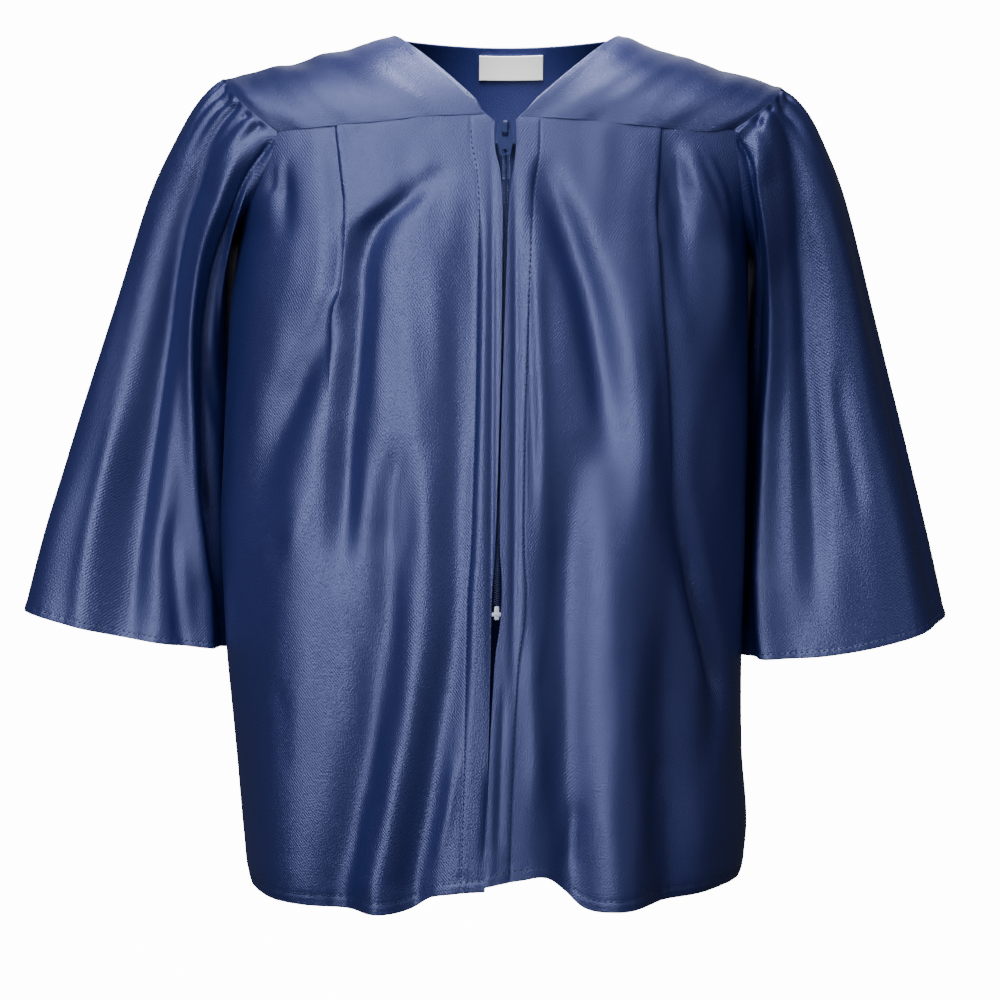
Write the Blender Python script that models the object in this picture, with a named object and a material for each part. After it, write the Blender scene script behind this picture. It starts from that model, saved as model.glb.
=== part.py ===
# Child's satin graduation gown, worn shape, hollow, front towards -Y, in metres.
# Left and right are the wearer's: the right side lies at -X.
import math

import bpy
import numpy as np

for old in list(bpy.data.objects):
    bpy.data.objects.remove(old, do_unlink=True)

MM = 0.001

# Driving sizes
CLOTH = 1.2 * MM          # wall of the gown's cloth
SEAM = 0.25 * MM          # each piece is cut back by this at a seam
ARMHOLE_GAP = 0.4 * MM    # sleeve to body along X
LAYER_GAP = 0.35 * MM     # between layers that lie on each other
RIDGE_Y = 4 * MM          # the shoulder line lies here
YOKE_ROWS = 8
NECK_COLUMNS = 10
YOKE_COLUMNS = 10
ARMHOLE_ROWS = 7
FRONT_SKIRT_ROWS = 13
BACK_SKIRT_ROWS = 9
HEAD_STEPS = 16           # sleeve divisions along the yoke, each half
UNDER_STEPS = 7           # sleeve divisions below the yoke, each half

# Points of each side, millimetres, x counted away from the middle
SIDES = {
    "right": {
        "sign": -1,
        "neck": (77, 4, 16),
        "shoulder": (192, 4, -14),
        "front_corner": (151.5, -62, -60.5),
        "back_corner": (152, 62, -72),
        "underarm": (184, 8, -126),
        "yoke_foot": 11.2,
    },
    "left": {
        "sign": 1,
        "neck": (82, 4, 16),
        "shoulder": (192.5, 4, -20),
        "front_corner": (155, -62, -59),
        "back_corner": (154, 62, -72),
        "underarm": (171, 8, -138),
        "yoke_foot": 10.5,
    },
}

# Side seam: height z and half width x
SIDE_SEAM = {
    "right": {"z": (-600, -578, -566, -540, -473, -400, -330, -283, -210, -160, -126),
              "x": (168, 171, 176, 180.5, 187.5, 194.5, 197.3, 196, 193, 189, 184)},
    "left": {"z": (-600, -578, -566, -547, -480, -382, -325, -250, -185, -138),
             "x": (155, 158, 166, 169.5, 167.5, 168, 169.5, 171.6, 171.5, 171)},
}
# Middle of the front and of the back: height z and depth y
FRONT_DEPTH = {"z": (-600, -560, -450, -350, -200, -120, -80, -50),
               "y": (-112, -111, -109, -107, -100, -91, -84, -79)}
BACK_DEPTH = {"z": (-600, -450, -300, -200, -120, -70),
              "y": (118, 112, 104, 96, 84, 74)}

# How square the body's section is: 2 is an ellipse, more is squarer
SECTION = {"z": (-600, -300, -200, -120, -60), "power": (2.1, 2.15, 2.3, 2.6, 3.0)}
SIDE_Y = 8                # the side seams lie here

# Height of the yoke seam along x, and of the hem along x
YOKE_SEAM = {
    "right": {"x": (4.8, 11.2, 52, 79, 113, 151.5), "z": (-57, -51.5, -53, -56, -58.3, -60.5)},
    "left": {"x": (7.8, 10.5, 38, 63, 105, 128, 155), "z": (-57, -53, -54.5, -56.5, -60, -62, -59)},
}
BACK_YOKE_Z = -72
HEM = {
    "right": {"x": (-12, 10, 32, 48, 62, 98, 140, 171), "z": (-562, -563, -565, -568, -576, -579, -577, -573.5)},
    "left": {"x": (-12, 10, 30, 40, 53, 74, 98, 130, 158), "z": (-560, -556, -555.5, -563, -574, -577, -575, -573, -569)},
}
BACK_HEM_Z = -574

# Centre front edges: height z and x of each edge
EDGE = {
    "right": {"z": (-600, -563, -440, -395, -372, -345, -290, -150, -105, -88, -76, -50),
              "x": (-12.3, -11.6, -8.6, -7.8, -7.4, -5.4, -3.3, -0.4, -0.6, -2.2, -4.9, -5.1)},
    "left": {"z": (-600, -563, -440, -395, -372, -345, -290, -150, -120, -100, -80, -50),
             "x": (-10.3, -9.9, -6.2, -1.0, -0.8, -2.2, -1.9, 2.2, 3.2, 4.6, 7.6, 8.4)},
}

# Front folds: each runs through x at heights z; raise above 0 is a ridge and below 0 a trough,
# width is its half width; all in millimetres, x counted away from the middle
FRONT_FOLDS = {
    "right": (
        {"z": (-85, -109, -126, -146, -180, -220, -275, -330, -400, -472, -560),
         "x": (39, 65, 85, 94, 96, 100, 104, 106, 90, 92, 106),
         "raise": (0, -4, -6, -8, -9, -10, -9, -8, -7, -8, -9), "width": 13},
        {"z": (-120, -200, -300, -386, -480, -560), "x": (70, 68, 70, 68, 74, 78),
         "raise": (0, 4, 6, 8, 11, 14), "width": 17},
        {"z": (-110, -150, -256, -400, -560), "x": (24, 24, 26, 31, 36),
         "raise": (0, -5, -5, -6, -9), "width": 9},
        {"z": (-186, -220, -260, -330, -400), "x": (124, 141, 150, 152, 150),
         "raise": (-2, -6, -6, -3, 0), "width": 11},
        {"z": (-260, -340, -450, -560), "x": (132, 132, 130, 132), "raise": (0, 4, 6, 5), "width": 16},
        {"z": (-70, -95, -125), "x": (140, 137, 133), "raise": (0, -2.5, 0), "width": 7},
    ),
    "left": (
        {"z": (-80, -97, -126, -166, -206, -254, -300, -347, -450, -560),
         "x": (24, 28, 38, 47, 56, 61, 52, 36, 38, 42),
         "raise": (0, -4, -7, -9, -9, -7, -6, -8, -9, -10), "width": 11},
        {"z": (-240, -320, -400, -560), "x": (84, 76, 68, 72), "raise": (0, 5, 9, 13), "width": 19},
        {"z": (-110, -160, -240, -300), "x": (21, 24, 26, 24), "raise": (0, 3, 3, 0), "width": 6},
        {"z": (-230, -316, -356, -396, -431, -450, -490), "x": (112, 116, 124, 136, 143, 144, 140),
         "raise": (0, -4, -7, -8, -7, -4, 0), "width": 9},
        {"z": (-66, -100, -130, -200), "x": (124, 136, 144, 146), "raise": (0, 5, 5, 0), "width": 9},
        {"z": (-120, -200, -300, -380), "x": (90, 88, 92, 96), "raise": (0, 5, 6, 0), "width": 15},
        {"z": (-66, -110, -160, -260), "x": (114, 118, 122, 124), "raise": (0, -5, -6, 0), "width": 9},
        {"z": (-380, -440, -560), "x": (112, 112, 116), "raise": (0, -4, -6), "width": 14},
    ),
}
# The tuck from each yoke seam: x along z, and the depth of its step
PLEAT = {
    "right": {"z": (-600, -400, -246, -220, -193, -181, -170, -133, -106, -62),
              "x": (120, 118, 116, 116, 116, 114, 109, 105.5, 106, 111),
              "step": (0, 0, 0, 0.6, 1.6, 2.4, 3.2, 3.4, 3.0, 1.2)},
    "left": {"z": (-600, -400, -300, -253, -213, -180, -146, -113, -62),
             "x": (114, 114, 112, 110, 107.4, 105, 103.5, 102, 105),
             "step": (0, 0, 0, 1.6, 2.6, 3.2, 3.4, 3.2, 1.2)},
}
PLEAT_EDGE = 1.2 * MM
PLEAT_RECOVER = 16 * MM
PLACKET = 16 * MM
SIDE_FADE = 0.16          # folds fade within this angle of the side, radians
# Back folds: x from the middle (signed), width, raise under the yoke and at the hem
BACK_FOLDS = (
    {"x": -150, "width": 14, "top": -2, "hem": -7},
    {"x": -113, "width": 13, "top": 3, "hem": 7},
    {"x": -76, "width": 12, "top": -3, "hem": -9},
    {"x": -40, "width": 14, "top": 3, "hem": 10},
    {"x": -4, "width": 12, "top": -3, "hem": -8},
    {"x": 32, "width": 14, "top": 2.5, "hem": 9},
    {"x": 66, "width": 12, "top": -3, "hem": -9},
    {"x": 100, "width": 13, "top": 3, "hem": 7},
    {"x": 134, "width": 12, "top": -2, "hem": -7},
)
# Depth of the small gathers below the back yoke, and the back's number of columns
BACK_GATHER = 1.6 * MM
BACK_COLUMNS = 32

# Sleeve sections: outer point, inner point, half depth, middle depth, how far the armhole's shape
# is left, and how far the front of the cuff hangs down
SLEEVE = {
    "right": {
        "outer_x": (192, 204, 216.5, 230, 244, 259, 274.5, 290.5, 307, 322, 333.5, 340),
        "outer_z": (-14, -21, -35, -60, -92, -134, -180, -228, -276, -320, -360, -384),
        "inner_x": (184, 188, 190.5, 192.5, 194.5, 196, 196.5, 196.8, 196.8, 196, 194, 192.5),
        "inner_z": (-126, -131, -139, -153, -173, -206, -244, -286, -326, -362, -393, -412),
        "half_depth": (60, 61, 61, 60, 58, 56, 55, 54, 54, 55, 56, 57),
        "middle_y": (4, 7, 11, 16, 22, 28, 33, 36, 38, 39, 40, 40),
        "leave": (0, 0.18, 0.4, 0.64, 0.84, 0.96, 1, 1, 1, 1, 1, 1),
        "droop": 5,
    },
    "left": {
        "outer_x": (192.5, 204, 215.5, 227, 240, 253.5, 264.5, 275.5, 288, 301, 311, 316),
        "outer_z": (-20, -27, -40, -62, -92, -136, -178, -222, -270, -322, -366, -390),
        "inner_x": (171, 174.5, 176, 177, 177, 176, 175, 174, 172, 170, 168, 167),
        "inner_z": (-138, -142, -149, -162, -181, -214, -250, -290, -328, -366, -398, -416),
        "half_depth": (60, 61, 61, 60, 58, 56, 55, 54, 54, 55, 56, 57),
        "middle_y": (4, 7, 11, 16, 22, 28, 33, 36, 38, 39, 40, 40),
        "leave": (0, 0.18, 0.4, 0.64, 0.84, 0.96, 1, 1, 1, 1, 1, 1),
        "droop": 11,
    },
}
# Sleeve folds: turn is the angle (0 outer edge, 90 front, 180 inner, minus for the back) at each share
# t of the sleeve's length, depth in millimetres, width in degrees, ends the share left at head and cuff
SLEEVE_FOLDS = {
    "right": (
        {"turn": (30, 52, 74, 94, 104), "t": (0.03, 0.2, 0.4, 0.6, 0.82), "depth": -6, "width": 11,
         "ends": (0.2, 0.2)},
        {"turn": (60, 82, 102, 116, 127, 131), "t": (0, 0.2, 0.4, 0.6, 0.8, 1), "depth": 5, "width": 8,
         "ends": (0.2, 0.8)},
        {"turn": (74, 98, 116, 130, 142, 148), "t": (0, 0.2, 0.4, 0.6, 0.85, 1), "depth": -4, "width": 9,
         "ends": (0.1, 0.5)},
        {"turn": (58, 62, 66), "t": (0.62, 0.8, 1), "depth": -3, "width": 14, "ends": (0, 1)},
        {"turn": (30, 34, 38), "t": (0.5, 0.75, 1), "depth": 3, "width": 13, "ends": (0, 1)},
        {"turn": (-14, -26), "t": (0, 1), "depth": -3, "width": 9, "ends": (0.8, 0)},
        {"turn": (-32, -52), "t": (0, 1), "depth": -5, "width": 10, "ends": (0.5, 0.8)},
        {"turn": (-48, -78), "t": (0, 1), "depth": -5, "width": 10, "ends": (0.5, 1)},
        {"turn": (-66, -106), "t": (0, 1), "depth": -5, "width": 10, "ends": (0.5, 1)},
        {"turn": (-100, -140), "t": (0, 1), "depth": -5, "width": 12, "ends": (0.3, 1)},
    ),
    "left": (
        {"turn": (42, 66, 84, 101, 111, 116), "t": (0, 0.12, 0.26, 0.4, 0.58, 0.85), "depth": -6, "width": 9,
         "ends": (0.2, 0.1)},
        {"turn": (56, 82, 102, 117, 130, 140, 141), "t": (0, 0.12, 0.26, 0.4, 0.58, 0.75, 1), "depth": 6, "width": 8,
         "ends": (0.2, 0.7)},
        {"turn": (74, 104, 126, 142, 152, 160, 162), "t": (0, 0.12, 0.26, 0.4, 0.58, 0.8, 1), "depth": -3, "width": 9,
         "ends": (0.1, 0.6)},
        {"turn": (70, 64, 58, 56), "t": (0.45, 0.65, 0.8, 1), "depth": 4, "width": 13, "ends": (0, 1)},
        {"turn": (26, 30, 32), "t": (0.3, 0.65, 1), "depth": -3, "width": 11, "ends": (0, 0.6)},
        {"turn": (-14, -26), "t": (0, 1), "depth": -3, "width": 9, "ends": (0.8, 0)},
        {"turn": (-32, -52), "t": (0, 1), "depth": -5, "width": 10, "ends": (0.5, 0.8)},
        {"turn": (-48, -78), "t": (0, 1), "depth": -5, "width": 10, "ends": (0.5, 1)},
        {"turn": (-66, -106), "t": (0, 1), "depth": -5, "width": 10, "ends": (0.5, 1)},
        {"turn": (-100, -140), "t": (0, 1), "depth": -5, "width": 12, "ends": (0.3, 1)},
    ),
}
FOLD_FADE = 0.3           # share of the length over which a fold rises and falls
FOLD_START = 0.25         # share of the length that the armhole keeps free of folds
NECK_STAND = math.radians(42)   # how steeply the back neck edge stands
CORNER_TURN = 84          # sleeve angle of the yoke's corner, degrees

# Neck facing, label and zip
FACING_SHOW = {"right": 5.0 * MM, "left": 3.0 * MM}
FACING_UNDER = 7 * MM
LABEL = {"x": 6 * MM, "z_top": 14 * MM, "width": 47 * MM, "height": 16.5 * MM, "thick": 0.8 * MM}
LABEL_COLUMNS = 6
LABEL_ROWS = 4
TAPE_WIDTH = 8.5 * MM
TAPE_THICK = 1.0 * MM
CHAIN_WIDTH = 4.6 * MM
CHAIN_THICK = 2.4 * MM
CHAIN_TOP_Z = -71 * MM
CHAIN_FOOT_Z = -377 * MM
ZIP_ROWS = 14
SLIDER_X = 1.4 * MM
SLIDER_TOP_Z = -56 * MM
SLIDER_LENGTH = 14.5 * MM
SLIDER_TOP_WIDTH = 9.6 * MM
SLIDER_FOOT_WIDTH = 7.2 * MM
SLIDER_THICK = 5.0 * MM
SLIDER_PROUD = 3.2 * MM
BRIDGE_WIDTH = 2.6 * MM
BRIDGE_LENGTH = 9.6 * MM
BRIDGE_WIRE = 1.3 * MM
BRIDGE_INSIDE = 2.3 * MM  # room between the slider's face and its bridge
BRIDGE_RISE = BRIDGE_INSIDE + BRIDGE_WIRE
TAB_LENGTH = 16.6 * MM
TAB_THICK = 1.3 * MM
TAB_HEAD_WIDTH = 11 * MM
TAB_FOOT_WIDTH = 7 * MM
TAB_BAR = 0.75 * MM       # half height of the bar under the bridge
TAB_HOLE = (4.2 * MM, 2.4 * MM)
STOP_WIDTH = 6.6 * MM
STOP_HEIGHT = 9 * MM
STOP_THICK = 1.05 * MM


def material(name, colour, roughness, metallic=0.0):
    mat = bpy.data.materials.get(name)
    if mat is None:
        mat = bpy.data.materials.new(name)
        mat.use_nodes = True
        shader = mat.node_tree.nodes["Principled BSDF"]
        shader.inputs["Base Color"].default_value = (*colour, 1.0)
        shader.inputs["Roughness"].default_value = roughness
        shader.inputs["Metallic"].default_value = metallic
    return mat


SATIN = material("navy_satin", (0.045, 0.075, 0.25), 0.35)
TAPE_CLOTH = material("zip_tape", (0.03, 0.05, 0.16), 0.8)
COIL = material("zip_coil", (0.02, 0.03, 0.11), 0.4)
ENAMEL = material("zip_enamel", (0.10, 0.13, 0.32), 0.35, 0.4)
PALE = material("zip_stop", (0.6, 0.65, 0.85), 0.3, 0.2)
LABEL_CLOTH = material("label", (0.9, 0.9, 0.9), 0.7)


def smooth(t):
    t = np.clip(t, 0.0, 1.0)
    return t * t * (3 - 2 * t)


def along(table, key, z):
    # a column of a table, in metres, at height z in metres
    return np.interp(np.asarray(z) / MM, table["z"], table[key]) * MM


def curve(table, key, z):
    # the same as a smooth curve through the table's rows, in the column's own units
    knots = np.array(table["z"], float)
    values = np.array(table[key], float)
    slopes = np.gradient(values, knots)
    height = np.clip(np.asarray(z, float) / MM, knots[0], knots[-1])
    k = np.clip(np.searchsorted(knots, height) - 1, 0, len(knots) - 2)
    span = knots[k + 1] - knots[k]
    t = (height - knots[k]) / span
    start = values[k] * (1 + 2 * t) * (1 - t) ** 2 + values[k + 1] * t * t * (3 - 2 * t)
    return start + span * (slopes[k] * t * (1 - t) ** 2 + slopes[k + 1] * t * t * (t - 1))


def unit(v):
    return v / np.maximum(np.linalg.norm(v, axis=-1, keepdims=True), 1e-12)


def signed_volume(points, faces):
    total = 0.0
    for face in faces:
        a = points[face[0]]
        for j in range(1, len(face) - 1):
            total += np.dot(a, np.cross(points[face[j]], points[face[j + 1]]))
    return total / 6


def add_object(name, points, faces, mat, origin=(0.0, 0.0, 0.0)):
    points = np.asarray(points, float)
    if signed_volume(points - points.mean(0), faces) < 0:
        faces = [tuple(reversed(f)) for f in faces]
    mesh = bpy.data.meshes.new(name)
    mesh.from_pydata((points - np.asarray(origin)).tolist(), [], faces)
    mesh.materials.append(mat)
    mesh.shade_smooth()
    obj = bpy.data.objects.new(name, mesh)
    obj.location = origin
    bpy.context.scene.collection.objects.link(obj)
    return obj


def grid_normals(grid, closed=False):
    # normal of each grid point from its neighbours along rows and columns
    if closed:
        across = np.roll(grid, -1, 1) - np.roll(grid, 1, 1)
    else:
        across = np.gradient(grid, axis=1)
    down = np.gradient(grid, axis=0)
    return unit(np.cross(across, down))


def trimmed(grid, edges, cut=SEAM):
    # move the named edges of a grid back by the seam gap
    grid = grid.copy()
    if "top" in edges:
        grid[0] += unit(grid[1] - grid[0]) * cut
    if "foot" in edges:
        grid[-1] += unit(grid[-2] - grid[-1]) * cut
    if "first" in edges:
        grid[:, 0] += unit(grid[:, 1] - grid[:, 0]) * cut
    if "last" in edges:
        grid[:, -1] += unit(grid[:, -2] - grid[:, -1]) * cut
    return grid


def wall(name, outer, inward, mat, thick=CLOTH, closed=False):
    # a closed wall: the outer grid, and the same grid moved inward by the thickness
    rows, cols = outer.shape[:2]
    inner = outer + inward * thick
    points = np.concatenate([outer.reshape(-1, 3), inner.reshape(-1, 3)])
    half = rows * cols

    def at(i, j, side):
        return side * half + i * cols + j % cols

    faces = []
    spans = cols if closed else cols - 1
    for i in range(rows - 1):
        for j in range(spans):
            faces.append((at(i, j, 0), at(i, j + 1, 0), at(i + 1, j + 1, 0), at(i + 1, j, 0)))
            faces.append((at(i, j, 1), at(i + 1, j, 1), at(i + 1, j + 1, 1), at(i, j + 1, 1)))
    for j in range(spans):
        faces.append((at(0, j, 0), at(0, j, 1), at(0, j + 1, 1), at(0, j + 1, 0)))
        faces.append((at(rows - 1, j, 0), at(rows - 1, j + 1, 0), at(rows - 1, j + 1, 1), at(rows - 1, j, 1)))
    if not closed:
        for i in range(rows - 1):
            faces.append((at(i, 0, 0), at(i + 1, 0, 0), at(i + 1, 0, 1), at(i, 0, 1)))
            faces.append((at(i, cols - 1, 0), at(i, cols - 1, 1), at(i + 1, cols - 1, 1), at(i + 1, cols - 1, 0)))
    return add_object(name, points, faces, mat)


def section(side, face, z):
    # half width, depth and squareness of the body's section at height z
    data = SIDES[side]
    z = np.asarray(z, float)
    power = curve(SECTION, "power", z)
    table, key = (FRONT_DEPTH, "y") if face == "front" else (BACK_DEPTH, "y")
    depth = (curve(table, key, z) - SIDE_Y) * MM
    cx, cy, cz = data[face + "_corner"]
    corner_power = curve(SECTION, "power", cz * MM)
    corner_depth = curve(table, key, cz * MM) - SIDE_Y
    corner_share = ((cy - SIDE_Y) / corner_depth) ** corner_power
    top_width = cx / (1 - corner_share) ** (1 / corner_power)
    ux, uz = data["underarm"][0], data["underarm"][2]
    rise = smooth((z / MM - uz) / (cz - uz))
    width = np.where(z / MM > uz, ux + (top_width - ux) * rise, curve(SIDE_SEAM[side], "x", z)) * MM
    return width, depth, power


def turn_of(a, b):
    # the section's own angle, 0 at the middle and a quarter turn at the side
    return np.arctan2(a, b)


def share_of(turn, power):
    # the section's width and depth shares at an angle
    c, d = np.sin(turn), np.cos(turn)
    size = (np.abs(c) ** power + np.abs(d) ** power) ** (1 / power)
    return c / size, d / size


def turn_at(side, face, x, z):
    # the angle of the point that lies x from the middle
    width, depth, power = section(side, face, z)
    a = np.clip(x / width, -0.9999, 0.9999)
    return turn_of(a, (1 - np.abs(a) ** power) ** (1 / power))


def armhole_lower(side, face, q):
    # the armhole below the yoke's corner, on the body's surface, a quarter turn down to the underarm
    cx, cy, cz = (v * MM for v in SIDES[side][face + "_corner"])
    ux, uy, uz = (v * MM for v in SIDES[side]["underarm"])
    drop = np.sin(np.asarray(q) * math.pi / 2)
    y = uy + (cy - uy) * np.cos(np.asarray(q) * math.pi / 2)
    z = cz + (uz - cz) * drop
    width, depth, power = section(side, face, z)
    b = np.clip((y - SIDE_Y * MM) / depth, 0, 1)
    a = (1 - b ** power) ** (1 / power)
    return np.stack([width * a, y, z], -1), turn_of(a, b)


def quarter_over(foot, top, q, bend, reach=math.pi / 2):
    # from a point of the yoke seam up to the top line, part of an ellipse seen from the side;
    # a reach of a quarter turn ends level, as on the shoulder
    turn = q * reach
    rise = np.sin(turn) / np.sin(reach)
    x = foot[..., 0] + (top[..., 0] - foot[..., 0]) * (1 - (1 - rise) ** bend)
    left = (np.cos(turn) - np.cos(reach)) / (1 - np.cos(reach))
    y = top[..., 1] + (foot[..., 1] - top[..., 1]) * left
    z = foot[..., 2] + (top[..., 2] - foot[..., 2]) * rise
    return np.stack([x, y, z], -1)


def fold_height(side, x, z):
    # sum of the front's ridges and troughs, each a soft bell across x
    total = np.zeros_like(x)
    for fold in FRONT_FOLDS[side]:
        middle = along({"z": fold["z"][::-1], "x": fold["x"][::-1]}, "x", z)
        height = along({"z": fold["z"][::-1], "h": fold["raise"][::-1]}, "h", z)
        below = z < fold["z"][-1] * MM
        if fold["z"][-1] > -550:
            height = np.where(below, 0.0, height)
        height = np.where(z > fold["z"][0] * MM, 0.0, height)
        total += height * np.exp(-((x - middle) / (fold["width"] * MM)) ** 2)
    return total


def pleat_height(side, x, z):
    # the tuck: a step down just outside its line, which recovers further out
    line = along(PLEAT[side], "x", z)
    step = along(PLEAT[side], "step", z)
    out = x - line
    fall = smooth(out / PLEAT_EDGE)
    recover = smooth((out - PLEAT_EDGE) / PLEAT_RECOVER)
    return -step * fall * (1 - recover)


def edge_row(side, face, r):
    # the outer end of a row: its point and its angle; r runs 0 to 1 along the armhole, 1 to 2 to the hem
    r = np.asarray(r, float)
    upper, upper_turn = armhole_lower(side, face, np.clip(r, 0, 1))
    under_z = SIDES[side]["underarm"][2]
    hem_z = HEM[side]["z"][-1]
    low = np.clip(r - 1, 0, 1)
    z = np.where(r <= 1, upper[..., 2], (under_z + (hem_z - under_z) * low) * MM)
    turn = np.where(r <= 1, upper_turn, math.pi / 2)
    return z, turn


def row_height(r, share, top_z, under_z, hem_z):
    # height of a point of a row: even steps at the middle, the armhole's own steps at its edge
    upper = np.clip(r, 0, 1)
    drop = upper + (np.sin(upper * math.pi / 2) - upper) * share ** 3
    return np.where(r <= 1, top_z + (under_z - top_z) * drop,
                    under_z + (hem_z - under_z) * np.clip(r - 1, 0, 1))


def outward(turn, width, depth, power):
    # level direction square to the section
    a, b = share_of(turn, power)
    ox = np.abs(a) ** (power - 1) / width
    oy = np.abs(b) ** (power - 1) / np.abs(depth)
    size = np.hypot(ox, oy)
    return ox / size, np.sign(depth) * oy / size


def front_point(side, r, turn):
    # a point of the front at row r and angle turn, with its folds
    edge_z, edge_turn = edge_row(side, "front", r)
    width, depth, power = section(side, "front", edge_z)
    x = width * share_of(turn, power)[0]
    under_z = SIDES[side]["underarm"][2] * MM
    top_z = np.interp(x / MM, YOKE_SEAM[side]["x"], YOKE_SEAM[side]["z"]) * MM
    hem_z = np.interp(x / MM, HEM[side]["x"], HEM[side]["z"]) * MM
    z = row_height(r, turn / edge_turn, top_z, under_z, hem_z)
    width, depth, power = section(side, "front", z)
    a, b = share_of(turn, power)
    x = width * a
    y = SIDE_Y * MM + depth * b
    sign = SIDES[side]["sign"]
    inner = along(EDGE[side], "x", z) * sign
    side_fade = smooth((edge_turn - turn) / SIDE_FADE)
    fade = smooth((z - top_z) / (-14 * MM)) * side_fade * smooth((x - inner - PLACKET * 0.7) / (5 * MM))
    height = fold_height(side, x, z) * fade + pleat_height(side, x, z) * side_fade
    out_x, out_y = outward(turn, width, depth, power)
    return np.stack([sign * (x + out_x * height), y + out_y * height, z], -1)


def front_columns(side, r):
    # angles of one row's columns: edge, placket, both sides of the tuck's line, side
    edge_z, edge_turn = edge_row(side, "front", r)
    sign = SIDES[side]["sign"]
    z = row_height(r, 0.0, -57 * MM, SIDES[side]["underarm"][2] * MM, -565 * MM)
    first = along(EDGE[side], "x", z) * sign
    line = along(PLEAT[side], "x", z)
    x = [np.linspace(first, first + PLACKET, 3)[:-1], np.linspace(first + PLACKET, line, 9)]
    turns = turn_at(side, "front", np.concatenate(x), edge_z)
    start = turn_at(side, "front", line + PLEAT_EDGE, edge_z)
    rest = start + (edge_turn - start) * np.linspace(0, 1, 11)[:, None]
    return np.concatenate([turns, rest])


def front_grid(side):
    rows = np.concatenate([np.linspace(0, 1, ARMHOLE_ROWS + 1),
                           np.linspace(1, 2, FRONT_SKIRT_ROWS + 1)[1:]])
    turns = front_columns(side, rows).T
    r = np.repeat(rows[:, None], turns.shape[1], 1)
    return front_point(side, r, turns)


def into_armhole(side, points):
    # direction from the armhole's edge to its middle, level with the seam
    middle = np.array([0.0, RIDGE_Y + 2 * MM, -72 * MM])
    towards = middle - points
    towards[..., 0] = 0.0
    return unit(towards)


def facing_in(grid, closed=False):
    # grid normals turned towards the gown's own middle line
    normals = grid_normals(grid, closed)
    middle = grid.reshape(-1, 3).mean(0) * np.array([0.0, 0.0, 1.0])
    if np.sum(normals * (middle - grid)) < 0:
        normals = -normals
    return normals


def row_inward(side, points):
    # level direction square to a row of points, towards the inside
    tangent = np.gradient(points, axis=0)
    inward = np.stack([-tangent[:, 1], tangent[:, 0], np.zeros(len(points))], -1)
    inward = unit(inward)
    if np.sum(inward * -points * [1, 1, 0]) < 0:
        inward = -inward
    return inward


def make_front(side):
    grid = front_grid(side)
    inward = facing_in(grid)
    inward[0] = row_inward(side, grid[0])
    arm = slice(0, ARMHOLE_ROWS + 1)
    inward[arm, -1] = into_armhole(side, grid[arm, -1])
    inward[ARMHOLE_ROWS + 1:, -1] = [-SIDES[side]["sign"], 0, 0]
    grid = trimmed(grid, ("top", "last"))
    return wall(f"front_{side}", grid, inward, SATIN)


def shoulder_line(side, q):
    # from the neck point to the shoulder point, a slight dip on the way
    neck = np.array(SIDES[side]["neck"]) * MM
    shoulder = np.array(SIDES[side]["shoulder"]) * MM
    line = neck + (shoulder - neck) * q[:, None]
    line[:, 2] -= 1.5 * MM * np.sin(math.pi * q)
    line[:, 0] *= SIDES[side]["sign"]
    return line


def yoke_foot(side, q):
    # the front yoke seam from the neck's foot to the armhole corner
    corner = SIDES[side]["front_corner"]
    foot_x = SIDES[side]["yoke_foot"] * MM
    x = foot_x + (corner[0] * MM - foot_x) * q
    turn = turn_at(side, "front", x, corner[2] * MM)
    return front_point(side, np.zeros_like(x), turn)


def front_yoke_grid(side):
    across = np.linspace(0, 1, YOKE_COLUMNS + 1)
    foot = yoke_foot(side, across)
    top = shoulder_line(side, across)
    bend = 1.0 + 0.6 * across
    rows = np.linspace(1, 0, YOKE_ROWS + 1)
    return np.stack([quarter_over(foot, top, q, bend) for q in rows])


def make_front_yoke(side):
    grid = front_yoke_grid(side)
    inward = facing_in(grid)
    inward[0] = [0, 0, -1]
    inward[-1] = row_inward(side, grid[-1])
    inward[:, -1] = into_armhole(side, grid[:, -1])
    grid = trimmed(grid, ("top", "foot"))
    return wall(f"front_yoke_{side}", grid, inward, SATIN)


def back_fold_height(x, share):
    total = np.zeros_like(x)
    for fold in BACK_FOLDS:
        height = (fold["top"] + (fold["hem"] - fold["top"]) * share) * MM
        total += height * np.exp(-((x - fold["x"] * MM) / (fold["width"] * MM)) ** 2)
    return total


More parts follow.
